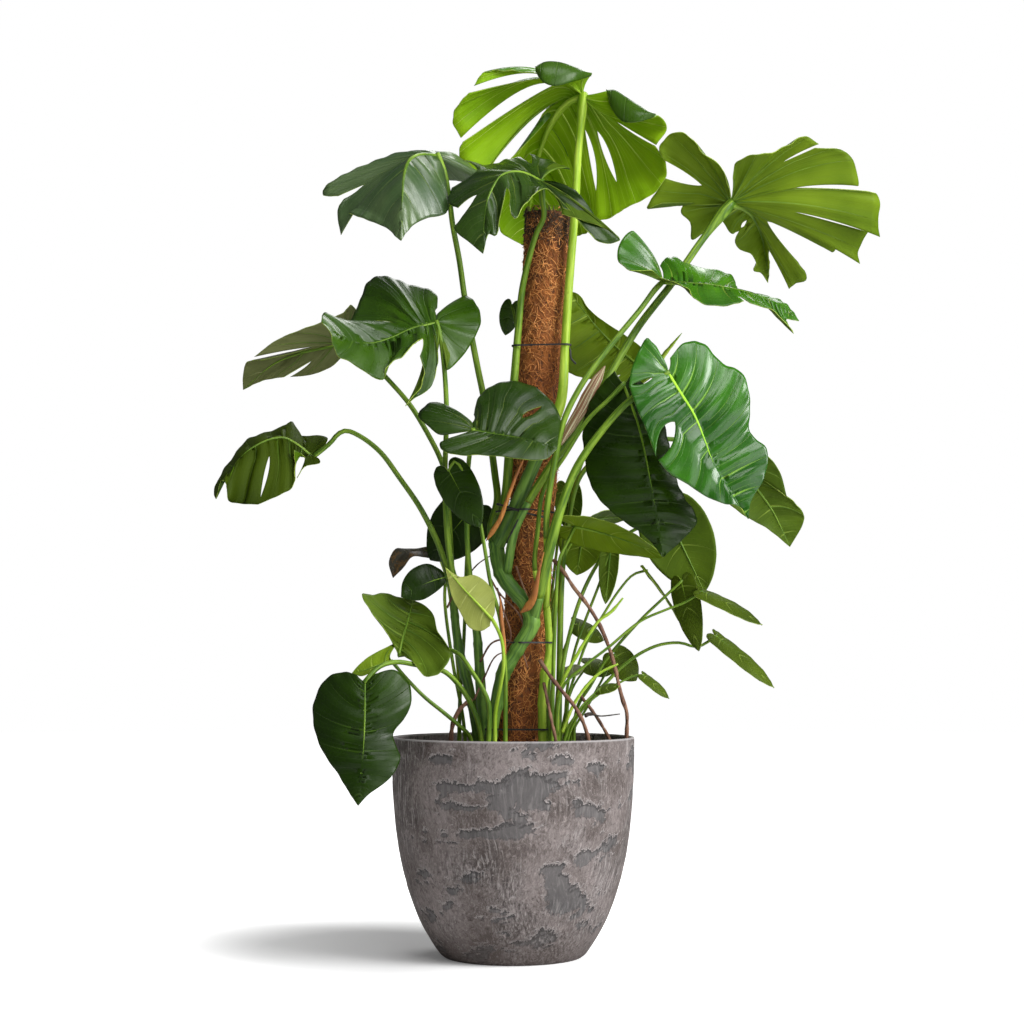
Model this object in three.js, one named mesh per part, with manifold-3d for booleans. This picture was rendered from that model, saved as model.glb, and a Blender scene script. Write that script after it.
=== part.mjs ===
// A potted swiss cheese plant tied to a coir moss pole, in a round stone-effect planter.
// Millimetres, +Z up. The origin is the centre of the pot's underside, +X is the plant's right and +Y its back.
import * as THREE from "three";
import { mergeVertices } from "three/addons/utils/BufferGeometryUtils.js";
import Module from "manifold-3d";

const wasm = await Module();
wasm.setup();

// Pot: outer profile as [radius, height], from the flat underside to the rim.
const POT_PROFILE = [[104, 0], [110, 5], [127, 30], [143, 60], [161, 111], [173, 165], [180, 226], [183, 280], [184, 327]];
const POT_WALL = 6;
const POT_FLOOR = 10;
const POT_ROWS = 7;
const POT_SIDES = 32;

// Potting mix: a low mound whose surface lies below the rim.
const SOIL_EDGE_HEIGHT = 296;
const SOIL_MIDDLE_HEIGHT = 302;
const SOIL_SIDES = 16;
const SOIL_ROWS = 3;

// Moss pole: a coir sleeve on a wooden core, leaning to the right.
const POLE_FOOT = [-5, 0, 20];
const POLE_TOP = [54, 0, 1133];
const POLE_RADIUS = 35;
const POLE_SIDES = 20;
const CORE_RADIUS = 12;
const CORE_COVER = 18;
const CORE_SIDES = 12;

// Touching pieces keep a gap, and the holes in the soil are a little wider.
const GAP = 0.3;
const HOLE_GAP = 0.6;

// The camera of the photograph: its middle pixel, its focal length in pixels, its place and how far it looks up.
const PHOTO_MIDDLE = [513, 512];
const PHOTO_FOCUS = 1962.7;
const CAMERA = [0, -3000, 450];
const CAMERA_PITCH = Math.atan(220 / 3000);

const BLADE_THICKNESS = 1.2;
const STALK_SIDES = 5;
const VINE_SIDES = 7;
const ROOT_SIDES = 5;
// The rings of a stem are this far apart.
const STEM_STEP = 75;
// Corners and edges this close are merged.
const NEEDLE = 0.02;
// A petiole's end stands this far through the blade it carries.
const KNOBS = [2, 2.3, 2.6, 2.9, 3.2];

// Half of a plain leaf's outline from the sinus to the tip: [share of the half width, share of the length].
// A negative second number is a share of the basal lobe's depth.
const OUTLINE = [
  [0.03, -0.05], [0.12, -0.6], [0.34, -1], [0.62, -0.9], [0.86, -0.25], [0.99, 0.15],
  [0.97, 0.4], [0.8, 0.63], [0.5, 0.83], [0.2, 0.95], [0, 1],
];
// Veins fan from the joint up to this place on the outline, and leave the midrib past it.
const FAN_END = 0.42;
// Rows of points from the veins' roots to the margin. A leaf with holes has one more.
const ROWS = [0, 0.3, 0.65, 1];
const HOLED_ROWS = [0, 0.3, 0.55, 0.8, 1];
// The corners along a drawn leaf's midrib, as shares of its length.
const RIB_SHARES = [0, 0.15, 0.32, 0.5, 0.68, 0.85, 1];
const PLAIN_ROWS = [0, 0.55, 1];
const PLAIN_COLUMNS = [0, 0.18, 0.38, 0.6, 0.82, 1];

// Climbing stems: the route from in the soil to the top, and the radius as [share of the length, radius].
const VINES = {
  vine_front: {
    route: [[-39, -20, 262], [-33, -25, 327], [-27, -34, 366], [-15, -42, 421], [10, -52, 466], [28, -53, 501],
      [15, -53, 531], [-9, -45, 561], [-21, -36, 592], [-26, -30, 622]],
    radii: [[0, 9], [0.4, 10], [0.45, 12], [0.5, 10], [0.66, 13], [0.72, 10], [0.88, 13], [1, 11]],
  },
  vine_left_dark: {
    route: [[-49, 31, 262], [-54, 28, 321], [-62, 26, 375], [-71, 24, 413], [-81, 22, 451], [-89, 20, 505], [-94, 20, 574]],
    radii: [[0, 7], [0.5, 8], [1, 5]],
  },
  vine_left_mid: {
    route: [[-39, 7, 262], [-43, 4, 330], [-47, 2, 365], [-49, 0, 398], [-52, -4, 444], [-55, -6, 486], [-64, -8, 550]],
    radii: [[0, 7], [0.5, 8], [1, 5]],
  },
  vine_right: {
    route: [[44, -38, 262], [44, -38, 324], [44, -40, 384], [47, -42, 414], [54, -42, 451], [54, -42, 481], [50, -42, 534]],
    radii: [[0, 6], [0.55, 6.5], [0.6, 8], [0.66, 6], [1, 5]],
  },
};

// Leaves. A drawn leaf is given by points picked on the photograph, [pixels across, pixels down, depth in mm]: rib
// is its midrib, and left and right are the fingers of its halves, each with its margin as edge and the place on the
// midrib, as a share, where its last vein starts as root. cut is the opening after a finger as [start, end, bulge],
// the first two as shares of the way from midrib to margin, the last in mm. faces is where the upper side looks, and
// lift is how far the veins arch to it, as a share of their length.
// A plain leaf is given by joint and tip, the ends of its midrib, by width across both halves and by lobe, the basal
// lobes' depth as a share of the length. bend arches its midrib and curl turns its margins, in degrees, and wave is
// [height, count].
// route is the petiole up to the joint, radii its thickness as [share, radius], and clasp the share of it that is
// fused to the vine it grows from.
const LEAVES = {
  leaf_top: {
    joint: [111, 60, 1338], faces: [0, 0.75, 0.65], lift: 0.08,
    rib: [[583, 95, 60], [567, 103, 78], [552, 122, 100], [541, 148, 120], [532, 195, 140], [524, 246, 150]],
    left: [
      { root: 0, lift: 0.2, cut: [0.35, 0.8, 4], edge: [[592, 74, 30], [575, 81, -5], [556, 86, -20],
        [543, 82, -10]] },
      { root: 0, lift: 0.35, cut: [0.4, 1, 7], edge: [[536, 66, -10], [505, 67, -15], [483, 72, -20],
        [474, 86, -25]] },
      { root: 0.02, lift: 0.75, cut: [0.35, 1, 9], edge: [[469, 93, -20], [456, 108, -10], [453, 122, 0],
        [461, 138, 10]] },
      { root: 0.08, lift: 0.75, cut: [0.35, 1, 9], edge: [[463, 142, 15], [459, 152, 25], [463, 166, 40],
        [478, 180, 55], [490, 168, 60]] },
      { root: 1, lift: 0, edge: [[504, 165, 70], [505, 182, 88], [501, 205, 110], [500, 230, 130]] },
    ],
    right: [
      { root: 0, lift: 0.05, cut: [0.35, 0.8, 4], edge: [[607, 91, 30], [614, 107, 5], [628, 120, -15],
        [645, 119, -20], [656, 115, -15]] },
      { root: 0, lift: 0.2, cut: [0.5, 1, 1], edge: [[660, 116, -10], [667, 123, -8], [666, 131, -5],
        [656, 145, 0]] },
      { root: 0.02, lift: 0.35, cut: [0.35, 0.8, 6], edge: [[655, 146, 2], [663, 158, 8], [667, 170, 12],
        [662, 184, 18], [650, 196, 24], [636, 203, 30], [624, 209, 36]] },
      { root: 0.06, lift: 0.35, cut: [0.3, 0.8, 5], edge: [[624, 209, 36], [612, 217, 44], [597, 221, 52]] },
      { root: 1, lift: 0, edge: [[597, 221, 52], [588, 232, 70], [577, 236, 85], [550, 243, 120]] },
    ],
    vine: "vine_front", clasp: 0.24, radii: [[0, 11], [0.2, 10], [0.4, 7], [0.9, 6], [1, 8]],
    route: [[-27, -28, 610], [-8, -48, 648], [15, -60, 699], [36, -58, 747], [56, -55, 790], [73, -50, 836],
      [79, -40, 915], [84, -34, 993], [90, -32, 1070], [95, -28, 1126], [101, 10, 1221], [109, 48, 1303]],
  },
  leaf_upper_right: {
    joint: [343, 40, 1160], faces: [0, 0.55, 0.83], lift: 0.08,
    rib: [[731, 203, 40], [745, 208, 75], [755, 219, 120], [762, 236, 160], [766, 258, 190], [768, 283, 210]],
    left: [
      { root: 0, cut: [0.45, 1, 3], edge: [[727, 184, 10], [722, 168, -5], [702, 152, -20], [690, 137, -20],
        [676, 132, -15], [664, 140, -5], [659, 150, 0], [664, 160, 5]] },
      { root: 0.05, cut: [0.6, 1, 0], edge: [[665, 178, 20], [655, 194, 30], [647, 208, 38], [662, 203, 40]] },
      { root: 0.15, cut: [0.5, 1, 0], edge: [[683, 205, 55], [681, 213, 60], [690, 222, 70], [692, 240, 80],
        [703, 229, 85]] },
      { root: 0.35, cut: [0.3, 0.8, 4], edge: [[722, 220, 95], [731, 233, 110], [739, 230, 125]] },
      { root: 1, edge: [[739, 232, 128], [735, 243, 140], [740, 250, 150], [752, 255, 165], [756, 264, 180],
        [754, 271, 190], [761, 273, 200]] },
    ],
    right: [
      { root: 0, cut: [0.6, 1, 2], edge: [[733, 178, 10], [736, 163, -10], [752, 155, -25], [770, 153, -25],
        [790, 144, -20], [805, 136, -15], [819, 144, -10]] },
      { root: 0, cut: [0.42, 1, 2], edge: [[815, 148, -5], [842, 150, 5], [853, 160, 15], [858, 186, 30],
        [848, 178, 28]] },
      { root: 0.02, cut: [0.46, 1, 2], edge: [[864, 191, 35], [877, 194, 45], [880, 205, 50], [878, 222, 58],
        [880, 237, 65]] },
      { root: 0.1, cut: [0.43, 1, 2], edge: [[868, 232, 75], [861, 244, 85], [858, 254, 90], [860, 264, 95]] },
      { root: 0.2, cut: [0.35, 1, 2], edge: [[838, 247, 110], [832, 252, 115], [824, 246, 118]] },
      { root: 0.5, cut: [0.55, 1, 1], edge: [[798, 262, 150], [807, 279, 160], [795, 284, 165], [789, 289, 168]] },
      { root: 1, edge: [[770, 262, 185], [769, 274, 200]] },
    ],
    vine: "vine_front", clasp: 0.16, radii: [[0, 7], [0.3, 6], [0.9, 5.5], [0.97, 9], [1, 7]],
    route: [[-9, -50, 576], [3, -72, 638], [25, -80, 683], [48, -78, 720], [71, -68, 756], [101, -54, 798],
      [132, -38, 850], [161, -22, 902], [195, -8, 958], [247, 10, 1027], [292, 26, 1093], [328, 38, 1142]],
  },
  leaf_upper_left: {
    joint: [-117, -20, 1221], faces: [-0.1, -0.75, 0.65], lift: 0.12,
    rib: [[437, 155, -20], [420, 154, -50], [409, 160, -85], [404, 175, -108], [402, 205, -125], [401, 241, -135]],
    left: [
      { root: 1, edge: [[446, 190, -45], [449, 205, -70], [445, 214, -85], [428, 218, -100], [415, 224, -115],
        [406, 233, -128]] },
    ],
    right: [
      { root: 0, cut: [0.8, 1, 0], edge: [[447, 180, 18], [465, 181, 26], [484, 178, 32], [470, 165, 26],
        [454, 153, 14]] },
      { root: 0.12, cut: [0.72, 1, 2], edge: [[450, 152, 12], [425, 151, 14], [398, 153, 10], [370, 163, 0],
        [345, 174, -8], [325, 187, -15], [323, 195, -18], [338, 196, -25]] },
      { root: 0.35, cut: [0.8, 1, 1], edge: [[344, 199, -45], [338, 208, -50], [338, 220, -50], [341, 235, -50]] },
      { root: 1, edge: [[349, 213, -80], [362, 218, -95], [375, 223, -105], [388, 229, -118], [396, 237, -130]] },
    ],
    vine: "vine_front", clasp: 0.08, radii: [[0, 6], [0.4, 5], [0.95, 4], [1, 5]],
    route: [[-24, -34, 600], [-34, -10, 640], [-24, 2, 690], [-28, 8, 730], [-35, 10, 782], [-46, 10, 852], [-54, 8, 891],
      [-63, 4, 937], [-74, 0, 998], [-83, -6, 1060], [-93, -12, 1113], [-97, -16, 1144], [-105, -20, 1190]],
  },
  leaf_over_pole: {
    joint: [43, -50, 1173], faces: [-0.1, -0.5, 0.85], lift: 0.08,
    rib: [[541, 181, -50], [522, 172, -78], [503, 174, -108], [489, 195, -135], [484, 225, -145], [483, 254, -150]],
    left: [
      { root: 0, cut: [0.4, 1, 2], edge: [[560, 183, -70], [576, 191, -80], [594, 217, -95], [578, 214, -105],
        [563, 208, -110]] },
      { root: 0.05, cut: [0.35, 1, 2], edge: [[562, 214, -115], [585, 221, -120], [612, 232, -125],
        [620, 240, -128], [602, 243, -130], [585, 229, -130]] },
      { root: 0.4, cut: [0.5, 1, 2], edge: [[537, 192, -140], [526, 203, -150], [514, 219, -165],
        [509, 205, -160]] },
      { root: 1, edge: [[502, 208, -152], [495, 236, -150], [489, 234, -150]] },
    ],
    right: [
      { root: 0, cut: [0.5, 1, 2], edge: [[556, 163, 0], [570, 169, -5], [545, 159, 10], [530, 154, 15]] },
      { root: 0.3, cut: [0.6, 1, 2], edge: [[520, 157, 10], [505, 160, 0], [490, 165, -15], [463, 160, -35]] },
      { root: 0.5, cut: [0.5, 1, 2], edge: [[452, 188, -60], [448, 203, -90], [458, 208, -105]] },
      { root: 1, edge: [[466, 212, -120], [455, 229, -130], [470, 243, -142]] },
    ],
    vine: "vine_front", clasp: 0.1, radii: [[0, 7], [0.3, 7], [0.9, 4], [1, 5]],
    route: [[-29, -36, 605], [-19, -34, 656], [-11, -30, 694], [-6, -28, 755], [-2, -28, 824], [3, -30, 885],
      [8, -30, 947], [14, -32, 1008], [24, -40, 1054], [35, -46, 1091], [47, -48, 1118], [45, -50, 1144]],
  },
  leaf_right_twisted: {
    joint: [230, -30, 1022], faces: [0, -0.5, 0.85], lift: 0.02,
    rib: [[663, 281, -30], [690, 283, -45], [720, 286, -60], [750, 293, -65], [780, 305, -65], [799, 321, -60]],
    left: [
      { root: 0.5, cut: [0.7, 1, 0], edge: [[660, 266, -5], [665, 259, 5], [674, 257, 10], [690, 265, 8],
        [720, 271, 0], [733, 277, -10], [736, 288, -22]] },
      { root: 1, edge: [[742, 290, -26], [765, 296, -38], [780, 300, -46], [790, 308, -52]] },
    ],
    right: [
      { root: 0, cut: [0.45, 1, 1], edge: [[653, 264, -35], [640, 245, -40], [632, 231, -45], [620, 243, -52],
        [618, 260, -60], [630, 270, -66], [652, 270, -62]] },
      { root: 0.5, cut: [0.6, 1, 1], edge: [[674, 282, -72], [688, 289, -85], [696, 300, -90], [715, 306, -95],
        [735, 304, -95], [744, 301, -95]] },
      { root: 1, edge: [[750, 303, -90], [775, 312, -88], [794, 333, -82], [786, 320, -76]] },
    ],
    vine: "vine_right", clasp: 0.2, radii: [[0, 5], [0.5, 4.5], [1, 4]],
    route: [[50, -42, 520], [52, -66, 580], [50, -98, 660], [63, -98, 744], [76, -96, 800], [101, -84, 852],
      [131, -70, 896], [162, -58, 936], [194, -46, 976], [217, -36, 1008]],
  },
  leaf_mid_left_front: {
    joint: [-116, -60, 954], faces: [-0.1, -0.6, 0.8], lift: 0.06,
    rib: [[436, 322, -60], [413, 328, -75], [390, 338, -95], [370, 343, -115], [350, 340, -130], [321, 322, -138]],
    left: [
      { root: 0.12, cut: [0.55, 1, 2], edge: [[434, 336, -75], [437, 352, -88], [437, 366, -96], [430, 388, -110],
        [415, 398, -120], [405, 406, -125], [420, 388, -126], [424, 372, -126], [420, 356, -122]] },
      { root: 1, edge: [[410, 348, -125], [402, 357, -130], [392, 362, -135], [385, 371, -140], [383, 380, -145],
        [368, 374, -150], [352, 363, -155], [338, 356, -160], [333, 345, -160], [330, 332, -152]] },
    ],
    right: [
      { root: 0, cut: [0.35, 1, 0], edge: [[442, 335, -55], [450, 354, -60], [447, 370, -64], [461, 358, -52],
        [475, 337, -42], [481, 320, -28], [476, 304, -14], [466, 296, -5], [452, 306, -15]] },
      { root: 0.2, cut: [0.3, 1, 8], edge: [[437, 308, -25], [437, 296, -15], [428, 289, 0], [410, 285, 10],
        [395, 279, 15], [380, 276, 15], [368, 282, 5], [361, 298, -12], [354, 314, -28], [349, 324, -40]] },
      { root: 1, edge: [[345, 323, -62], [336, 318, -85], [324, 313, -110]] },
    ],
    vine: "vine_left_mid", clasp: 0.1, radii: [[0, 5], [0.5, 4], [1, 3.5]],
    route: [[-63, -8, 545], [-88, -22, 568], [-96, -30, 603], [-101, -36, 655], [-103, -40, 716], [-101, -50, 837],
      [-109, -60, 926]],
  },
  leaf_mid_left_back: {
    joint: [-254, 30, 938], faces: [0, 0.55, 0.83], lift: 0.05,
    rib: [[350, 342, 30], [325, 347, 36], [300, 353, 42], [275, 363, 48], [243, 390, 55]],
    left: [
      { root: 0.12, cut: [0.4, 1, 2], edge: [[358, 312, 0], [351, 305, -5], [344, 312, 0], [325, 321, 5],
        [300, 330, 10], [275, 341, 15], [254, 357, 20]] },
      { root: 1, edge: [[262, 360, 36], [247, 362, 42], [243, 376, 50]] },
    ],
    right: [
      { root: 0.2, cut: [0.5, 1, 3], edge: [[342, 357, 33], [331, 367, 35], [310, 375, 38], [290, 377, 40]] },
      { root: 1, edge: [[284, 377, 44], [262, 381, 50]] },
    ],
    vine: "vine_left_dark", clasp: 0.08, radii: [[0, 5], [0.5, 4], [1, 3.5]],
    route: [[-94, 20, 568], [-99, 26, 659], [-104, 28, 729], [-113, 28, 756], [-129, 28, 788], [-160, 28, 839],
      [-199, 30, 884], [-230, 30, 917]],
  },
  leaf_left_curled: {
    joint: [-305, -20, 753], faces: [-0.2, -0.3, 0.93], lift: 0.12,
    rib: [[313, 457, -20], [297, 444, -30], [282, 437, -45], [262, 442, -58], [243, 455, -68], [228, 475, -68], [216, 499, -60]],
    left: [
      { root: 0.05, cut: [0.4, 1, 0], edge: [[319, 459, -30], [320, 463, -35], [306, 466, -40], [297, 478, -45]] },
      { root: 0.4, cut: [0.3, 0.9, 5], edge: [[294, 450, -62], [295, 470, -72], [293, 487, -78], [280, 495, -86],
        [260, 504, -92]] },
      { root: 1, edge: [[256, 505, -94], [240, 504, -98], [228, 501, -98], [226, 485, -96], [222, 480, -84]] },
    ],
    right: [
      { root: 0.08, cut: [0.4, 1, 0], edge: [[322, 448, 0], [328, 438, 8], [318, 436, 12], [301, 436, 10]] },
      { root: 1, edge: [[297, 431, 8], [292, 422, 4], [280, 428, 2], [262, 434, -4], [247, 440, -12],
        [235, 455, -24], [222, 473, -36], [214, 492, -48]] },
    ],
    vine: "vine_left_dark", clasp: 0.12, radii: [[0, 5], [0.5, 4], [1, 3.5]],
    route: [[-89, 20, 536], [-106, 6, 597], [-117, 0, 627], [-142, -6, 676], [-173, -12, 721], [-203, -16, 761],
      [-234, -18, 785], [-255, -20, 793], [-267, -20, 788], [-279, -20, 774]],
  },
  leaf_centre: {
    joint: [-59, -110, 784], faces: [0, -0.5, 0.87], lift: 0.08,
    rib: [[473, 430, -110], [495, 434, -122], [520, 438, -134], [540, 443, -142], [557, 449, -150]],
    left: [
      { root: 0, cut: [0.35, 1, 0], edge: [[452, 432, -106], [440, 435, -108], [428, 426, -100], [418, 416, -90],
        [424, 407, -78], [433, 402, -70], [444, 405, -72], [456, 414, -82]] },
      { root: 0.4, cut: [0.4, 0.8, 8], edge: [[474, 415, -80], [478, 399, -66], [490, 387, -58], [510, 381, -58],
        [535, 387, -68], [553, 402, -85]] },
      { root: 1, edge: [[553, 403, -86], [560, 417, -98], [559, 432, -124]] },
    ],
    right: [
      { root: 1, edge: [[450, 438, -126], [440, 443, -132], [442, 450, -142], [458, 455, -152], [480, 455, -160],
        [505, 457, -166], [530, 460, -166], [546, 459, -160]] },
    ],
    vine: "vine_left_mid", clasp: 0.2, radii: [[0, 4.5], [0.5, 4], [1, 3.5]],
    route: [[-53, -6, 474], [-66, -30, 580], [-70, -36, 640], [-70, -38, 699], [-66, -64, 745], [-61, -100, 772]],
  },
  leaf_behind_pole: {
    joint: [219, 64, 892], faces: [0.2, 0.7, 0.65], lift: 0.08,
    rib: [[652, 374, 64], [622, 352, 72], [596, 326, 84], [569, 291, 94]],
    left: [
      { root: 1, edge: [[652, 358, 66], [640, 346, 68], [625, 335, 74], [605, 322, 80], [590, 310, 86],
        [578, 294, 92]] },
    ],
    right: [
      { root: 0.15, cut: [0.5, 1, 0], edge: [[640, 386, 56], [626, 392, 54], [612, 395, 52], [604, 383, 54]] },
      { root: 1, edge: [[596, 380, 56], [580, 377, 60], [563, 368, 62], [559, 345, 66], [561, 315, 76]] },
    ],
    radii: [[0, 5], [0.6, 4.5], [1, 3.5]],
    route: [[70, 50, 262], [72, 50, 420], [78, 50, 600], [96, 54, 720], [130, 62, 800], [180, 72, 862]],
  },
  leaf_right_dark: {
    joint: [166, -84, 856], faces: [-0.2, -0.95, 0.2], lift: 0.08,
    rib: [[624, 384, -84], [638, 425, -95], [648, 470, -108], [656, 515, -118], [663, 557, -122]],
    left: [
      { root: 1, edge: [[631, 373, -86], [646, 387, -82], [660, 412, -80], [668, 440, -82], [673, 470, -86],
        [683, 495, -92], [697, 520, -100], [683, 539, -112]] },
    ],
    right: [
      { root: 1, edge: [[615, 371, -72], [603, 383, -64], [590, 402, -60], [583, 428, -62], [584, 452, -68],
        [589, 480, -78], [600, 500, -88], [622, 520, -100], [645, 536, -112]] },
    ],
    vine: "vine_right", clasp: 0.15, radii: [[0, 4], [0.5, 3], [1, 3.5]],
    route: [[50, -42, 528], [33, -62, 576], [37, -72, 638], [46, -76, 698], [78, -84, 749], [112, -86, 802], [146, -88, 835]],
  },
  leaf_right_bright: {
    joint: [229, -125, 868], faces: [0.1, -0.9, 0.4], lift: 0.08,
    rib: [[668, 372, -125], [681, 393, -134], [694, 414, -141], [704, 438, -147], [714, 464, -152], [731, 493, -157], [748, 519, -160]],
    left: [
      { root: 1, edge: [[670, 358, -126], [684, 343, -118], [702, 343, -114], [722, 363, -118], [742, 373, -126],
        [750, 400, -136], [750, 432, -140], [767, 450, -146], [764, 478, -154], [751, 501, -160]] },
    ],
    right: [
      { root: 0, cut: [0.35, 0.92, 5], edge: [[664, 360, -128], [656, 347, -130], [647, 338, -132],
        [638, 352, -136], [631, 370, -139], [629, 384, -141]] },
      { root: 0.25, cut: [0.35, 1, 12], edge: [[629, 387, -141], [637, 410, -146], [646, 430, -150],
        [656, 457, -155]] },
      { root: 1, edge: [[658, 460, -156], [668, 472, -158], [690, 486, -160], [705, 496, -162], [725, 504, -163],
        [738, 506, -163]] },
    ],
    vine: "vine_front", clasp: 0.1, radii: [[0, 9], [0.3, 8], [0.5, 6], [1, 4.5]],
    route: [[29, -52, 500], [43, -82, 560], [57, -102, 620], [73, -106, 675], [98, -108, 735], [159, -116, 814], [203, -120, 850]],
  },
  leaf_right_back: {
    joint: [334, 30, 761], faces: [0, 0.7, 0.7], lift: 0.08,
    rib: [[728, 455, 30], [750, 480, 45], [772, 510, 55], [790, 547, 60]],
    left: [
      { root: 1, edge: [[718, 468, 32], [722, 495, 38], [742, 514, 46], [768, 529, 54]] },
    ],
    right: [
      { root: 0.2, cut: [0.5, 1, 1], edge: [[742, 445, 20], [757, 448, 22], [769, 457, 25], [780, 472, 30],
        [787, 497, 35]] },
      { root: 1, edge: [[776, 489, 40], [795, 503, 48], [804, 515, 52], [803, 524, 55]] },
    ],
    radii: [[0, 4.5], [0.6, 4], [1, 3.5]],
    route: [[66, -12, 262], [70, -14, 420], [74, -8, 560], [84, 8, 650], [106, 14, 730], [166, 24, 776], [260, 36, 785]],
  },
  leaf_right_heart: {
    joint: [238, 16, 666], tip: [294, 12, 547], faces: [0, 0.9, 0.3], width: 110, lobe: 0.2,
    bend: 10, curl: -15, wave: [2, 2],
    radii: [[0, 3.5], [0.6, 3], [1, 2.5]],
    route: [[66, -44, 262], [71, -44, 399], [80, -26, 459], [102, -6, 535], [128, 14, 588], [150, 20, 618], [180, 20, 640]],
  },
  leaf_shoot_grey: {
    joint: [94, -34, 646], tip: [226, -50, 599], faces: [0, 0.5, 0.85], width: 80, lobe: 0.2,
    bend: 20, curl: -20, wave: [2, 2],
    radii: [[0, 3.5], [1, 2.5]],
    route: [[56, -64, 262], [60, -62, 420], [64, -58, 520], [70, -50, 594], [84, -42, 625]],
  },
  leaf_shoot_hanging: {
    joint: [109, 32, 645], tip: [99, 43, 575], faces: [0.1, 0.9, 0.3], width: 72, lobe: 0.25,
    bend: 20, curl: -20, wave: [2, 2],
    radii: [[0, 3], [1, 2.5]],
    route: [[51, 31, 262], [55, 27, 480], [68, 26, 560], [86, 28, 618]],
  },
  leaf_shoot_back: {
    joint: [120, 60, 662], tip: [180, 95, 668], faces: [0, 0.5, 0.8], width: 60, lobe: 0.2,
    bend: 15, curl: -20, wave: [2, 2],
    radii: [[0, 3], [1, 2.5]],
    route: [[56, 46, 262], [58, 56, 460], [76, 66, 580], [100, 62, 636]],
  },
  leaf_shoot_round: {
    joint: [84, 30, 711], tip: [90, 38, 640], faces: [0, 0.9, 0.2], width: 45, lobe: 0.15,
    bend: 20, curl: -20, wave: [1, 2],
    radii: [[0, 3], [1, 2]],
    route: [[44, 44, 262], [50, 48, 420], [64, 42, 580], [76, 34, 670]],
  },
  leaf_shoot_slim: {
    joint: [149, 4, 613], tip: [141, -8, 529], faces: [0.2, 0.9, 0.2], width: 32, lobe: 0.1,
    bend: 15, curl: -30, wave: [1, 2],
    radii: [[0, 2.5], [1, 2]],
    route: [[78, 16, 262], [83, 16, 398], [95, 16, 459], [111, 12, 505], [134, 6, 565]],
  },
  leaf_left_dark_flap: {
    joint: [-96, -74, 727], tip: [-49, -86, 641], faces: [-0.3, -0.9, 0.3], width: 62, lobe: 0.15,
    bend: 15, curl: -30, wave: [1, 2],
    radii: [[0, 3.5], [0.6, 3], [1, 2]],
    route: [[-12, -56, 262], [-12, -60, 436], [-19, -68, 504], [-33, -72, 556], [-42, -72, 608], [-50, -70, 653],
      [-60, -72, 684], [-71, -74, 717], [-87, -74, 741]],
  },
  leaf_left_broad: {
    joint: [-67, 46, 675], tip: [-129, 62, 599], faces: [0, -0.95, 0.3], width: 95, lobe: 0.25,
    bend: 15, curl: -20, wave: [2, 2],
    radii: [[0, 3], [1, 2.5]],
    route: [[-84, 44, 262], [-82, 44, 382], [-76, 44, 475], [-72, 44, 600]],
  },
  leaf_left_withered: {
    joint: [-118, 84, 611], faces: [-0.1, -0.9, 0.4], lift: 0.12,
    rib: [[438, 553, 84], [422, 551, 80], [407, 553, 76], [397, 561, 72], [393, 578, 68]],
    left: [
      { root: 1, edge: [[438, 561, 78], [424, 557, 70], [412, 557, 66], [404, 567, 62]] },
    ],
    right: [
      { root: 1, edge: [[440, 542, 90], [426, 547, 84], [410, 549, 84], [396, 549, 80], [389, 562, 72]] },
    ],
    radii: [[0, 2.5], [1, 2]],
    route: [[-82, 62, 262], [-84, 66, 400], [-94, 74, 500], [-104, 82, 570]],
  },
  leaf_left_oval: {
    joint: [-102, -16, 570], faces: [-0.2, -0.8, 0.5], lift: 0.08,
    rib: [[446, 577, -16], [432, 581, -20], [416, 588, -24], [401, 597, -28]],
    left: [
      { root: 1, edge: [[446, 583, -20], [436, 592, -24], [422, 600, -28], [410, 600, -29]] },
    ],
    right: [
      { root: 1, edge: [[441, 570, -10], [429, 564, -6], [414, 568, -10], [403, 581, -18]] },
    ],
    radii: [[0, 3], [1, 2.5]],
    route: [[-70, 36, 262], [-76, 26, 350], [-92, 6, 440], [-104, -8, 535]],
  },
  leaf_left_pale: {
    joint: [-31, -96, 504], faces: [-0.1, 0.95, 0.2], lift: 0.08,
    rib: [[492, 619, -96], [478, 604, -104], [462, 587, -110], [445, 567, -114]],
    left: [
      { root: 1, edge: [[495, 611, -92], [494, 596, -92], [488, 584, -96], [474, 575, -102], [460, 577, -107]] },
    ],
    right: [
      { root: 1, edge: [[490, 626, -94], [481, 631, -96], [470, 628, -100], [460, 612, -104], [452, 597, -107],
        [448, 580, -111]] },
    ],
    radii: [[0, 3.5], [1, 2.5]],
    route: [[-26, -58, 262], [-26, -62, 367], [-20, -72, 399], [-14, -82, 437], [-16, -88, 470], [-24, -94, 492]],
  },
  leaf_left_olive: {
    joint: [-170, -60, 451], faces: [0, 0.65, -0.75], lift: 0.08,
    rib: [[399, 655, -60], [403, 638, -44], [408, 620, -20], [413, 600, 10]],
    left: [
      { root: 1, edge: [[405, 657, -68], [414, 663, -88], [425, 676, -98], [438, 674, -97], [449, 660, -86],
        [450, 650, -66], [438, 632, -46], [433, 614, -16], [424, 605, 0]] },
    ],
    right: [
      { root: 1, edge: [[396, 648, -58], [384, 628, -52], [370, 610, -44], [362, 594, -34], [372, 595, -18],
        [384, 593, -4], [398, 597, 4]] },
    ],
    radii: [[0, 4], [1, 3]],
    route: [[-42, -66, 262], [-36, -66, 333], [-36, -68, 378], [-44, -72, 399], [-60, -70, 425], [-80, -60, 452],
      [-100, -50, 460], [-140, -48, 456]],
  },
  leaf_lowest: {
    joint: [-216, -130, 412], faces: [-0.1, -0.95, 0.2], lift: 0.1,
    rib: [[365, 682, -130], [365, 706, -148], [363, 754, -176], [358, 806, -190]],
    left: [
      { root: 1, edge: [[375, 674, -128], [394, 670, -124], [410, 686, -124], [409, 710, -134], [393, 735, -150],
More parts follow.
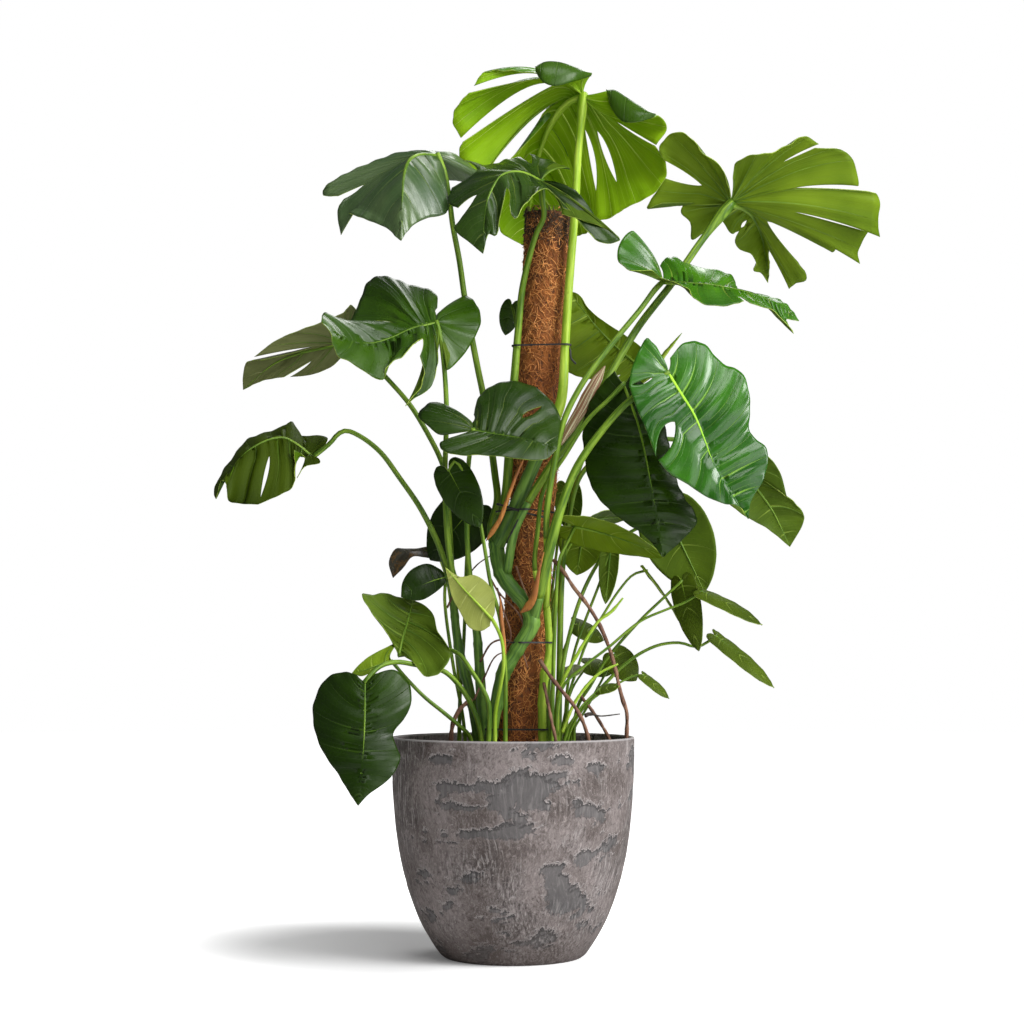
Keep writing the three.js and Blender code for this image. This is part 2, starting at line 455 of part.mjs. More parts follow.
        [400, 758, -164], [390, 778, -176], [368, 795, -186]] },
    ],
    right: [
      { root: 1, edge: [[357, 675, -126], [345, 672, -118], [327, 678, -112], [314, 702, -122], [314, 726, -138],
        [322, 750, -156], [338, 774, -172], [350, 794, -184]] },
    ],
    radii: [[0, 4], [1, 3.5]],
    route: [[-48, -44, 262], [-48, -46, 327], [-56, -50, 362], [-66, -54, 384], [-82, -62, 408], [-104, -74, 428],
      [-145, -80, 437], [-172, -96, 441], [-196, -116, 434]],
  },
  leaf_left_low: {
    joint: [-180, -76, 442], faces: [0, 0.8, 0.6], lift: 0.08,
    rib: [[392, 661, -76], [378, 665, -84], [365, 670, -90], [352, 673, -92]],
    left: [
      { root: 1, edge: [[389, 656, -70], [395, 644, -50], [381, 650, -62], [367, 658, -76], [357, 667, -86]] },
    ],
    right: [
      { root: 1, edge: [[386, 665, -80], [374, 671, -90], [361, 676, -96]] },
    ],
    radii: [[0, 3.5], [1, 2.5]],
    route: [[-62, -30, 262], [-64, -32, 327], [-82, -44, 347], [-104, -54, 366], [-132, -62, 389], [-158, -70, 416]],
  },
  leaf_basal_edge: {
    joint: [204, -4, 580], tip: [263, -10, 486], faces: [0.9, -0.1, 0.4], width: 40, lobe: 0.1,
    bend: 15, curl: -20, wave: [1, 2],
    radii: [[0, 2.5], [1, 1.8]],
    route: [[82, -8, 262], [84, -8, 384], [97, -8, 429], [114, -8, 474], [134, -8, 507], [162, -6, 550], [184, -4, 574]],
  },
  leaf_basal_yellow: {
    joint: [255, -34, 563], tip: [279, -48, 457], faces: [-0.5, -0.8, 0.2], width: 46, lobe: 0.1,
    bend: 15, curl: -20, wave: [1, 2],
    radii: [[0, 3], [1, 2]],
    route: [[92, 12, 262], [98, 12, 370], [119, 8, 406], [142, 4, 444], [194, -22, 505], [225, -30, 535]],
  },
  leaf_basal_right: {
    joint: [282, -62, 546], tip: [372, -66, 496], faces: [0.2, -0.5, 0.85], width: 42, lobe: 0.1,
    bend: 15, curl: -20, wave: [1, 2],
    radii: [[0, 2.5], [1, 1.8]],
    route: [[66, -60, 262], [72, -62, 399], [108, -60, 436], [143, -58, 463], [191, -58, 502], [229, -60, 519], [257, -62, 530]],
  },
  leaf_basal_far: {
    joint: [310, 0, 480], tip: [395, -20, 402], faces: [0.5, -0.6, 0.6], width: 42, lobe: 0.1,
    bend: 10, curl: -20, wave: [1, 2],
    radii: [[0, 3.5], [1, 2]],
    route: [[76, 2, 262], [80, 2, 330], [97, -4, 360], [119, -8, 386], [142, -8, 410], [165, -6, 433], [194, -4, 454],
      [224, -2, 467], [255, 0, 470], [281, 0, 464]],
  },
  leaf_basal_small: {
    joint: [196, -30, 421], tip: [235, -34, 386], faces: [0.3, -0.6, 0.7], width: 24, lobe: 0.1,
    bend: 10, curl: -20, wave: [1, 2],
    radii: [[0, 2], [1, 1.6]],
    route: [[80, -38, 262], [84, -38, 331], [110, -36, 376], [139, -34, 399], [161, -32, 410], [182, -30, 420]],
  },
  leaf_basal_mid: {
    joint: [156, 16, 452], tip: [188, 6, 412], faces: [-0.2, -0.7, 0.6], width: 50, lobe: 0.2,
    bend: 10, curl: -20, wave: [1, 2],
    radii: [[0, 2], [1, 1.8]],
    route: [[86, 28, 262], [90, 26, 329], [114, 24, 372], [140, 20, 420]],
  },
  leaf_basal_back: {
    joint: [98, 34, 498], tip: [141, 46, 474], faces: [0, -0.6, 0.75], width: 48, lobe: 0.2,
    bend: 10, curl: -20, wave: [1, 2],
    radii: [[0, 2], [1, 1.8]],
    route: [[62, 16, 262], [64, 16, 330], [68, 22, 400], [80, 30, 464]],
  },
  leaf_basal_left: {
    joint: [80, -25, 427], tip: [107, -27, 431], faces: [0, -0.6, 0.75], width: 30, lobe: 0.2,
    bend: 10, curl: -20, wave: [1, 2],
    radii: [[0, 2], [1, 1.6]],
    route: [[62, -26, 262], [64, -28, 331], [70, -30, 390]],
  },
  leaf_basal_behind: {
    joint: [116, 46, 436], tip: [158, 60, 428], faces: [0, -0.7, 0.7], width: 42, lobe: 0.25,
    bend: 10, curl: -20, wave: [1, 2],
    radii: [[0, 2], [1, 1.6]],
    route: [[72, 36, 262], [76, 38, 340], [92, 42, 400]],
  },
  leaf_basal_low: {
    joint: [128, -62, 400], tip: [158, -72, 405], faces: [0, -0.6, 0.75], width: 24, lobe: 0.15,
    bend: 10, curl: -20, wave: [1, 2],
    radii: [[0, 2], [1, 1.6]],
    route: [[74, -66, 262], [78, -66, 330], [100, -64, 372]],
  },
  leaf_behind_small: {
    joint: [-2, 58, 1000], tip: [-12, 70, 955], faces: [0, -0.8, 0.5], width: 34, lobe: 0.2,
    bend: 20, curl: -20, wave: [1, 2],
    radii: [[0, 3], [1, 2]],
    route: [[-14, 48, 262], [-6, 48, 500], [4, 50, 750], [8, 54, 930], [2, 56, 985]],
  },
};

// Aerial roots from the climbing stems down into the soil.
const ROOTS = {
  root_right_long: {
    route: [[168, -12, 260], [170, -14, 300], [172, -20, 339], [171, -32, 366], [165, -38, 384],
      [159, -42, 406], [154, -44, 429], [148, -44, 451], [140, -44, 474], [128, -42, 501], [110, -38, 530],
      [92, -34, 553], [78, -30, 575], [62, -20, 596]],
    radius: 3,
  },
  root_right_front: {
    route: [[118, -62, 262], [114, -68, 317], [104, -76, 352], [90, -82, 377], [72, -82, 399], [54, -74, 422],
      [40, -66, 444]],
    radius: 3,
  },
  root_centre: {
    route: [[66, -80, 262], [64, -80, 320], [58, -76, 350], [52, -66, 380], [46, -54, 410]],
    radius: 2.5,
  },
  root_right_low: {
    route: [[154, -20, 262], [148, -20, 318], [134, -18, 346], [118, -16, 370], [100, -16, 392]],
    radius: 2.5,
  },
  root_left: {
    route: [[-94, -20, 262], [-94, -20, 316], [-90, -18, 350], [-78, -16, 372], [-62, -14, 384]],
    radius: 3.5,
  },
};

// Ties: a loop at a height, drawn tight round the pole and the stems that it holds.
const TIES = {
  tie_top: { height: 922, holds: ["leaf_top", "leaf_over_pole"] },
  tie_middle: { height: 668, holds: ["vine_front", "leaf_top", "leaf_over_pole"] },
  tie_lower: { height: 470, holds: ["vine_front", "vine_right"] },
  tie_bottom: { height: 340, holds: ["vine_front", "vine_right"] },
};
const TIE_RADIUS = 1.5;
const TIE_POINTS = 36;
const TIE_SIDES = 3;

const MATERIALS = {
  pot: material(0x77706e, 0.75),
  soil: material(0x3a2a20, 0.95),
  coir: material(0x9a5a2a, 0.95),
  core: material(0xa98a5c, 0.8),
  tie: material(0x141414, 0.5),
  vine: material(0x3f7a45, 0.5),
  root: material(0x5d4238, 0.8),
  leaf: material(0x2c6a2a, 0.35),
};

function material(color, roughness) {
  return new THREE.MeshStandardMaterial({ color, roughness, metalness: 0 });
}

const vector = (p) => new THREE.Vector3(...p);

// The place of a point picked on the photograph: its pixels across and down, and its depth in mm. The ray of that
// pixel leaves the camera and is followed to the depth.
function seen([across, down, depth]) {
  const [side, rise] = [(across - PHOTO_MIDDLE[0]) / PHOTO_FOCUS, (PHOTO_MIDDLE[1] - down) / PHOTO_FOCUS];
  const [level, steep] = [Math.cos(CAMERA_PITCH), Math.sin(CAMERA_PITCH)];
  const reach = (depth - CAMERA[1]) / (level - rise * steep);
  return new THREE.Vector3(side * reach, depth, CAMERA[2] + reach * (rise * level + steep));
}

const turn = THREE.MathUtils.degToRad;
const mix = THREE.MathUtils.lerp;

// The value at a share of a length, on straight lines between [share, value] pairs.
function readOff(pairs, share) {
  const next = pairs.findIndex((pair) => pair[0] >= share);
  if (next < 1) return next < 0 ? pairs.at(-1)[1] : pairs[0][1];
  const [a, b] = [pairs[next - 1], pairs[next]];
  return mix(a[1], b[1], (share - a[0]) / (b[0] - a[0]));
}

const smooth = (points) => new THREE.CatmullRomCurve3(points.map(vector), false, "centripetal");

// A closed mesh with shared corners as a solid.
function solid(points, faces) {
  return new wasm.Manifold(new wasm.Mesh({
    numProp: 3,
    vertProperties: new Float32Array(points.flatMap((p) => p.toArray())),
    triVerts: new Uint32Array(faces.flat()),
  }));
}

// A three.js geometry as a solid, turned the right way out.
function solidOf(geometry) {
  const bare = geometry.clone();
  bare.deleteAttribute("normal");
  bare.deleteAttribute("uv");
  const merged = mergeVertices(bare, 1e-3);
  const index = [...merged.index.array];
  const make = (triVerts) => new wasm.Manifold(new wasm.Mesh({
    numProp: 3, vertProperties: merged.attributes.position.array, triVerts: new Uint32Array(triVerts),
  }));
  const made = make(index);
  return made.volume() > 0 ? made : make(index.toReversed());
}

function meshOf(name, body, look) {
  const { vertProperties, triVerts } = body.getMesh();
  const geometry = new THREE.BufferGeometry();
  geometry.setAttribute("position", new THREE.BufferAttribute(vertProperties, 3));
  geometry.setIndex(new THREE.BufferAttribute(triVerts, 1));
  geometry.computeVertexNormals();
  const mesh = new THREE.Mesh(geometry, look);
  mesh.name = name;
  return mesh;
}

// The rings of a round stem along a route, at even steps. from and to are shares of its length.
function ringsOf(route, radii, from = 0, to = 1) {
  const curve = smooth(route);
  const steps = Math.max(3, Math.round(((to - from) * curve.getLength()) / STEM_STEP));
  const out = new THREE.Vector3(0.6, 0.8, 0);
  return Array.from({ length: steps + 1 }, (_, i) => {
    const u = mix(from, to, i / steps);
    const [centre, along] = [curve.getPointAt(u), curve.getTangentAt(u)];
    out.addScaledVector(along, -out.dot(along)).normalize();
    return { centre, along, out: out.clone(), across: along.clone().cross(out), radius: readOff(radii, u) };
  });
}

// A closed tube through rings, with a flat end at each end. grow adds to its radius.
function tube(rings, sides, grow = 0) {
  const points = [], faces = [];
  for (const { centre, out, across, radius } of rings)
    for (let j = 0; j < sides; j++) {
      const turned = (2 * Math.PI * j) / sides;
      const [x, y] = [(radius + grow) * Math.cos(turned), (radius + grow) * Math.sin(turned)];
      points.push(centre.clone().addScaledVector(out, x).addScaledVector(across, y));
    }
  const last = rings.length - 1;
  const at = (i, j) => i * sides + (j % sides);
  for (let i = 0; i < last; i++)
    for (let j = 0; j < sides; j++)
      faces.push([at(i, j), at(i, j + 1), at(i + 1, j)], [at(i, j + 1), at(i + 1, j + 1), at(i + 1, j)]);
  for (let j = 1; j < sides - 1; j++)
    faces.push([at(0, 0), at(0, j + 1), at(0, j)], [at(last, 0), at(last, j), at(last, j + 1)]);
  return solid(points, faces);
}

// A straight round rod between two points.
function rod(a, b, radius, sides) {
  const axis = vector(b).sub(vector(a));
  const geometry = new THREE.CylinderGeometry(radius, radius, axis.length(), sides);
  geometry.applyQuaternion(new THREE.Quaternion().setFromUnitVectors(new THREE.Vector3(0, 1, 0), axis.clone().normalize()));
  const middle = vector(a).addScaledVector(axis, 0.5);
  return solidOf(geometry.translate(middle.x, middle.y, middle.z));
}

// The flat leaf of a plain blade: sideways as a share of the half width and along as a share of the length.
// A vein runs from the joint or the midrib to the margin on a parabola, leaving sideways and turning to the tip.
function flatPoint(outline, q, s) {
  const margin = outline.getPoint(q);
  const root = Math.max(0, (q - FAN_END) / (1 - FAN_END)) ** 1.3;
  const [bend, end] = [2 * s * (1 - s), s * s];
  return [
    bend * 0.6 * margin.x + end * margin.x,
    (1 - s) ** 2 * root + bend * mix(root, margin.y, 0.25) + end * margin.y,
  ];
}

// A plain blade in space: the midrib is an arc from the joint to the tip, and each half is an arc across it.
function shaper(leaf) {
  const [joint, tip] = [vector(leaf.joint), vector(leaf.tip)];
  const chord = tip.clone().sub(joint);
  const bend = turn(leaf.bend);
  const length = (chord.length() * bend) / 2 / Math.sin(bend / 2);
  const ahead = chord.normalize();
  const up = vector(leaf.faces);
  up.addScaledVector(ahead, -up.dot(ahead)).normalize();
  const side = ahead.clone().cross(up);
  const half = leaf.width / 2;
  return (hand, a, b, q, s) => {
    const slope = bend * (0.5 - b);
    const along = (length * (Math.sin(bend / 2) - Math.sin(slope))) / bend;
    const rise = (length * (Math.cos(slope) - Math.cos(bend / 2))) / bend;
    const over = up.clone().multiplyScalar(Math.cos(slope)).addScaledVector(ahead, -Math.sin(slope));
    const curl = turn(leaf.curl);
    const wave = leaf.wave[0] * s * s * Math.sin(2 * Math.PI * leaf.wave[1] * q + hand);
    return joint.clone().addScaledVector(ahead, along).addScaledVector(up, rise)
      .addScaledVector(side, (hand * half * Math.sin(curl * a)) / curl)
      .addScaledVector(over, (half * (1 - Math.cos(curl * a))) / curl + wave);
  };
}

// A sheet given as loose triangles of points becomes a closed blade: corners are shared, both faces move half a
// thickness along the corner's normal with the same triangles, and a wall closes each open edge.
function thicken(triangles, thickness) {
  const corners = new Map(), points = [], faces = [];
  const corner = (p) => {
    const key = p.toArray().map((x) => Math.round(x * 1e3)).join();
    if (!corners.has(key)) corners.set(key, points.push(p) - 1);
    return corners.get(key);
  };
  for (const triangle of triangles) {
    const face = triangle.map(corner);
    if (new Set(face).size === 3) faces.push(face);
  }
  const normals = points.map(() => new THREE.Vector3());
  const edges = new Map();
  for (const [a, b, c] of faces) {
    const normal = points[b].clone().sub(points[a]).cross(points[c].clone().sub(points[a]));
    for (const i of [a, b, c]) normals[i].add(normal);
    for (const [i, j] of [[a, b], [b, c], [c, a]]) edges.set(i + "," + j, [i, j]);
  }
  normals.forEach((n) => n.normalize());
  const n = points.length;
  const all = [
    ...points.map((p, i) => p.clone().addScaledVector(normals[i], thickness / 2)),
    ...points.map((p, i) => p.clone().addScaledVector(normals[i], -thickness / 2)),
  ];
  const closed = faces.flatMap(([a, b, c]) => [[a, b, c], [a + n, c + n, b + n]]);
  for (const [i, j] of edges.values())
    if (!edges.has(j + "," + i)) closed.push([j, i, i + n], [j, i + n, j + n]);
  return solid(all, closed);
}

function plainBlade(leaf) {
  const outline = new THREE.CatmullRomCurve3(
    OUTLINE.map(([a, b]) => new THREE.Vector3(a, b < 0 ? b * leaf.lobe : b, 0)), false, "centripetal");
  const place = shaper(leaf);
  return [1, -1].flatMap((hand) => patch(PLAIN_COLUMNS, PLAIN_ROWS, hand, (q, s) =>
    place(hand, ...flatPoint(outline, q, s), q, s)));
}

// The triangles of a grid of points over columns and rows. hand tells which way they face.
function patch(columns, rows, hand, at) {
  const triangles = [];
  for (let c = 0; c + 1 < columns.length; c++)
    for (let r = 0; r + 1 < rows.length; r++) {
      const [a, b, d, e] = [at(columns[c], rows[r]), at(columns[c], rows[r + 1]), at(columns[c + 1], rows[r]),
        at(columns[c + 1], rows[r + 1])];
      triangles.push(...(hand > 0 ? [[a, b, d], [b, e, d]] : [[a, d, b], [b, d, e]]));
    }
  return triangles;
}

// How far a cut is open at a share of the way from vein to margin: its mouth's share, and its bulge's share.
// One that ends before the margin is a hole and has no mouth.
function opening([start, end], s) {
  const way = THREE.MathUtils.clamp((s - start) / (end - start), 0, 1);
  return [end < 1 ? 0 : way ** 0.8, Math.sin(Math.PI * way)];
}

// One half of a split blade: a row of fingers, drawn by their margins. Between two fingers lies a cut, closed up to
// its start and open past it. root is the place on the midrib where a finger's last vein starts.
function splitHalf(leaf, rib, fingers, hand) {
  const holed = [...leaf.left, ...leaf.right].some(({ cut }) => cut && cut[1] < 1);
  const rows = holed ? HOLED_ROWS : ROWS;
  const starts = [];
  const triangles = fingers.flatMap((finger, i) => {
    const [before, after] = [fingers[i - 1], fingers[i + 1]];
    const points = finger.edge.map(seen);
    if (!after) points.push(seen(leaf.rib.at(-1)));
    const margin = new THREE.CatmullRomCurve3(points, false, "centripetal");
    const [first, last] = [points[0], points.at(-1)];
    const gapBefore = before ? seen(before.edge.at(-1)).sub(first) : new THREE.Vector3();
    const gapAfter = after ? seen(after.edge[0]).sub(last) : new THREE.Vector3();
    const lifts = [(before ?? finger).lift ?? leaf.lift, finger.lift ?? leaf.lift];
    const along = last.clone().sub(first).normalize();
    const at = (t, s) => {
      const share = mix(before ? before.root : 0, finger.root, t);
      const [root, forward] = [rib.getPointAt(share), rib.getTangentAt(share)];
      const [near, far] = [(1 - t) ** 2, t ** 2];
      const closed = margin.getPoint(t).addScaledVector(gapBefore, near / 2).addScaledVector(gapAfter, far / 2);
      const vein = closed.clone().sub(root);
      const up = vector(leaf.faces);
      up.addScaledVector(forward, -up.dot(forward)).normalize();
      const control = root.clone().addScaledVector(vein, 0.6).addScaledVector(forward, -0.35 * vein.dot(forward))
        .addScaledVector(up, mix(...lifts, t) * vein.length());
      const point = root.multiplyScalar((1 - s) ** 2).addScaledVector(control, 2 * s * (1 - s));
      point.addScaledVector(closed, s * s);
      for (const [cut, gap, reach, way] of [[before?.cut, gapBefore, near, 1], [finger.cut, gapAfter, far, -1]]) {
        if (!cut) continue;
        const [mouth, bulge] = opening(cut, s);
        point.addScaledVector(gap, (-reach / 2) * mouth).addScaledVector(along, way * cut[2] * reach * bulge);
      }
      return point;
    };
    const columns = points.map((_, c) => c / (points.length - 1));
    for (const t of columns.slice(before ? 1 : 0))
      starts.push([mix(before ? before.root : 0, finger.root, t), at(t, rows[1])]);
    return patch(columns, rows.slice(1), hand, at);
  });
  const middle = RIB_SHARES.map((share) => [share, rib.getPointAt(share)]);
  return [...triangles, ...strip(middle, starts, hand)];
}

// Triangles between two lines of points, each listed with its share of the way along, so that the lines need not
// have the same number of points.
function strip(inner, outer, hand) {
  const triangles = [];
  let [i, j] = [0, 0];
  while (i + 1 < inner.length || j + 1 < outer.length) {
    const inward = j + 1 >= outer.length || (i + 1 < inner.length && inner[i + 1][0] < outer[j + 1][0]);
    const third = inward ? inner[++i] : outer[++j];
    const [a, b] = inward ? [inner[i - 1][1], outer[j][1]] : [inner[i][1], outer[j - 1][1]];
    triangles.push(hand > 0 ? [a, b, third[1]] : [a, third[1], b]);
  }
  return triangles;
}

function splitBlade(leaf) {
  const rib = new THREE.CatmullRomCurve3(leaf.rib.map(seen), false, "centripetal");
  return [...splitHalf(leaf, rib, leaf.right, 1), ...splitHalf(leaf, rib, leaf.left, -1)];
}

const blade = (leaf) => thicken(leaf.rib ? splitBlade(leaf) : plainBlade(leaf), BLADE_THICKNESS);

// A petiole runs a little past the joint, so that it stands through the blade.
function stalkRings(leaf, from, to, past = KNOBS[0]) {
  const end = vector(leaf.joint);
  const onward = end.clone().sub(vector(leaf.route.at(-1))).normalize();
  return ringsOf([...leaf.route, end.addScaledVector(onward, past).toArray()], leaf.radii, from, to);
}

function stalkGap(leaf) {
  return GAP / smooth([...leaf.route, leaf.joint]).getLength();
}

// A body without needle-thin triangles, as the largest piece that this leaves.
function settled(body) {
  const pieces = solidOf(meshOf("", body.simplify(NEEDLE)).geometry).decompose();
  return pieces.sort((one, other) => other.volume() - one.volume())[0];
}

// Whether four faces of a body meet at one edge.
function pinched(body) {
  const { vertProperties, triVerts } = body.getMesh();
  const key = (i) => [0, 1, 2].map((k) => Math.round(vertProperties[3 * i + k] * 1e4)).join();
  const edges = new Set();
  for (let i = 0; i < triVerts.length; i += 3)
    for (let j = 0; j < 3; j++) {
      const edge = key(triVerts[i + j]) + ";" + key(triVerts[i + ((j + 1) % 3)]);
      if (edges.has(edge)) return true;
      edges.add(edge);
    }
  return false;
}

// The blade and its petiole as one body. Where their edges meet awkwardly, the petiole runs on a little longer.
function makeLeaf(leaf) {
  const sheet = blade(leaf);
  for (const past of KNOBS) {
    const petiole = tube(stalkRings(leaf, leaf.vine ? leaf.clasp : 0, 1, past), STALK_SIDES);
    const body = settled(sheet.add(petiole));
    if (!pinched(body)) return body;
  }
  throw new Error("a petiole and its blade do not join cleanly");
}

// A climbing stem with the clasping feet of the petioles that grow from it.
function makeVine(name) {
  const { route, radii } = VINES[name];
  const feet = Object.values(LEAVES).filter((leaf) => leaf.vine === name)
    .map((leaf) => tube(stalkRings(leaf, 0, leaf.clasp - stalkGap(leaf)), STALK_SIDES));
  return feet.reduce((body, foot) => body.add(foot), tube(ringsOf(route, radii), VINE_SIDES));
}

function makePole() {
  const [foot, top] = [vector(POLE_FOOT), vector(POLE_TOP)];
  const axis = top.clone().sub(foot).normalize();
  const coreTop = top.clone().addScaledVector(axis, -CORE_COVER).toArray();
  const below = foot.clone().addScaledVector(axis, -1).toArray();
  const boreTop = top.clone().addScaledVector(axis, -CORE_COVER + GAP).toArray();
  const sleeve = rod(POLE_FOOT, POLE_TOP, POLE_RADIUS, POLE_SIDES);
  const bore = rod(below, boreTop, CORE_RADIUS + GAP, CORE_SIDES);
  return { sleeve: sleeve.subtract(bore), core: rod(POLE_FOOT, coreTop, CORE_RADIUS, CORE_SIDES) };
}

// The room for the pole in the soil: the sleeve a little wider, and a little deeper than its foot.
function makePoleHole() {
  const axis = vector(POLE_TOP).sub(vector(POLE_FOOT)).normalize();
  return rod(vector(POLE_FOOT).addScaledVector(axis, -GAP).toArray(), POLE_TOP, POLE_RADIUS + HOLE_GAP, POLE_SIDES);
}

function lathe(profile, sides) {
  const geometry = new THREE.LatheGeometry(profile.map(([r, z]) => new THREE.Vector2(r, z)), sides);
  return solidOf(geometry.rotateX(Math.PI / 2));
}

const potCurve = new THREE.CatmullRomCurve3(POT_PROFILE.map(([r, z]) => new THREE.Vector3(r, z, 0)), false, "centripetal");

// The pot's outer radius at a height.
function potRadius(height) {
  let [low, high] = [0, 1];
  for (let i = 0; i < 30; i++) {
    const middle = (low + high) / 2;
    if (potCurve.getPoint(middle).y < height) low = middle;
    else high = middle;
  }
  return potCurve.getPoint(low).x;
}

function makePot() {
  const top = POT_PROFILE.at(-1)[1];
  const outside = Array.from({ length: POT_ROWS + 1 }, (_, i) => {
    const p = potCurve.getPoint(i / POT_ROWS);
    return [p.x, p.y];
  });
  const inside = Array.from({ length: POT_ROWS }, (_, i) => {
    const z = mix(top, POT_FLOOR, i / (POT_ROWS - 1));
    return [potRadius(z) - POT_WALL, z];
  });
  return lathe([[0, 0], ...outside, ...inside, [0, POT_FLOOR]], POT_SIDES);
}

function makeSoil(holes) {
  const wall = Array.from({ length: SOIL_ROWS + 1 }, (_, i) => {
    const z = mix(POT_FLOOR + GAP, SOIL_EDGE_HEIGHT, (i / SOIL_ROWS) ** 1.5);
    return [potRadius(z) - POT_WALL - 2, z];
  });
  const mound = [[140, SOIL_EDGE_HEIGHT + 2], [90, SOIL_MIDDLE_HEIGHT - 1], [0, SOIL_MIDDLE_HEIGHT]];
  return holes.reduce((body, hole) => body.subtract(hole), lathe([[0, POT_FLOOR + GAP], ...wall, ...mound], SOIL_SIDES));
}

// A hole in the soil: the straight foot of a stem a little wider and a little deeper.
function holeFor([foot, next], sides) {
  const below = foot.centre.clone().addScaledVector(foot.along, -GAP);
  return tube([{ ...foot, centre: below }, next], sides, HOLE_GAP);
}

// The ends of the stretches of a body's edges that lie between two heights.
function band(body, low, high) {
  const { vertProperties, triVerts } = body.getMesh();
  const corner = (i) => new THREE.Vector3().fromArray(vertProperties, 3 * i);
  const found = [];
  for (let i = 0; i < triVerts.length; i += 3)
    for (let j = 0; j < 3; j++) {
      const [a, b] = [corner(triVerts[i + j]), corner(triVerts[i + ((j + 1) % 3)])];
      if (a.z >= b.z || a.z > high || b.z < low) continue;
      for (const height of [Math.max(low, a.z), Math.min(high, b.z)])
        found.push(a.clone().lerp(b, (height - a.z) / (b.z - a.z)));
    }
  return found;
}

// A tie: the convex outline round the pole and the stems it holds, as a closed ring of wire.
function makeTie({ height, holds }, bodies) {
  const held = ["pole_coir", ...holds].flatMap((name) => band(bodies[name], height - TIE_RADIUS, height + TIE_RADIUS));
  const ring = Array.from({ length: TIE_POINTS }, (_, i) => {
    const turned = (2 * Math.PI * i) / TIE_POINTS;
    const out = new THREE.Vector3(Math.cos(turned), Math.sin(turned), 0);
    const outermost = held.reduce((best, p) => (p.dot(out) > best.dot(out) ? p : best));
    const centre = outermost.clone().addScaledVector(out, TIE_RADIUS + GAP);
    return { out, centre: centre.setZ(height) };
  });
  const points = [], faces = [];
  ring.forEach(({ out, centre }) => {
    for (let j = 0; j < TIE_SIDES; j++) {
      const turned = (2 * Math.PI * (j + 0.5)) / TIE_SIDES;
      const p = centre.clone().addScaledVector(out, TIE_RADIUS * Math.cos(turned));
      p.z += TIE_RADIUS * Math.sin(turned);
      points.push(p);
    }
  });
  const at = (i, j) => (i % TIE_POINTS) * TIE_SIDES + (j % TIE_SIDES);
  for (let i = 0; i < TIE_POINTS; i++)
    for (let j = 0; j < TIE_SIDES; j++)
      faces.push([at(i, j), at(i + 1, j), at(i, j + 1)], [at(i, j + 1), at(i + 1, j), at(i + 1, j + 1)]);
  return solid(points, faces);
}

const plant = new THREE.Group();
plant.name = "potted_swiss_cheese_plant";
const bodies = {};
const add = (name, body, look) => {
  bodies[name] = settled(body);
  plant.add(meshOf(name, bodies[name], look));
};

const { sleeve, core } = makePole();
add("pot", makePot(), MATERIALS.pot);
add("pole_coir", sleeve, MATERIALS.coir);
add("pole_core", core, MATERIALS.core);
const holes = [makePoleHole()];
for (const [name, { route, radii }] of Object.entries(VINES)) {
  add(name, makeVine(name), MATERIALS.vine);
  holes.push(holeFor(ringsOf(route, radii), VINE_SIDES));
}
for (const [name, leaf] of Object.entries(LEAVES)) {
  add(name, makeLeaf(leaf), MATERIALS.leaf);
  if (!leaf.vine) holes.push(holeFor(stalkRings(leaf), STALK_SIDES));
}
for (const [name, { route, radius }] of Object.entries(ROOTS)) {
  const rings = ringsOf(route, [[0, radius], [1, radius]]);
  add(name, tube(rings, ROOT_SIDES), MATERIALS.root);
  holes.push(holeFor(rings, ROOT_SIDES));
}
for (const [name, tie] of Object.entries(TIES)) add(name, makeTie(tie, bodies), MATERIALS.tie);
add("soil", makeSoil(holes), MATERIALS.soil);

export default plant;
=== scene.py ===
"""Potted swiss cheese plant on a coir pole: its fine leaves, stems, coir, soil and pot, with a studio
and a camera. The tables hold millimetres; meshes are made in metres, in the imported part's frame."""

import math

import bmesh
import bpy
import numpy as np
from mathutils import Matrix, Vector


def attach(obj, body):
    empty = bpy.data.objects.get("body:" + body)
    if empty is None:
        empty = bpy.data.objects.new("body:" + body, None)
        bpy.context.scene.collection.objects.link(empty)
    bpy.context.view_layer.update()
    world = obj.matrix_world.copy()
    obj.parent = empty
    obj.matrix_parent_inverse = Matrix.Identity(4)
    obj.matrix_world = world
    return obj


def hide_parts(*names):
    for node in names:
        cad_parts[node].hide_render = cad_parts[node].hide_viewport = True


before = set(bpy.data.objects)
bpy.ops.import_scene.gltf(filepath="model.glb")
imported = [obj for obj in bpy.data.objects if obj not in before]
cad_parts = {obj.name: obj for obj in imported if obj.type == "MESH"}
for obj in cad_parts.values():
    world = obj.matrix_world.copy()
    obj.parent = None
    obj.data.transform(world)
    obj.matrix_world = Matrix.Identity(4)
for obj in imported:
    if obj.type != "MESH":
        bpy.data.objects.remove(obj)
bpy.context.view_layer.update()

MM = 0.001

# Where the photograph was taken from: its middle pixel, its focal length in pixels, and the camera
PHOTO_MIDDLE = (513, 512)
PHOTO_FOCUS = 1962.7
CAMERA_PLACE = (0, -3000, 450)
CAMERA_PITCH = math.atan(220 / 3000)

# The lens and sensor give that focal length, and a step sideways puts the plant's axis on its pixel
LENS = 69
SENSOR_WIDTH = 36
CAMERA_SIDE_STEP = -1.5

# Pot: [radius, height] up the outside, the lip's [radius, height over the profile's top], wall and floor
POT_PROFILE = [
    [104, 0], [110, 5], [127, 30], [143, 60], [161, 111], [173, 165], [180, 226], [183, 280], [184, 327],
]
POT_LIP = [[183.4, 0.6], [181.5, 1], [178.6, 0.6], [178, -1]]
POT_FOOT_RADIUS = 60
POT_WALL = 6
POT_FLOOR = 10
SOIL_EDGE_HEIGHT = 296
SOIL_MIDDLE_HEIGHT = 302

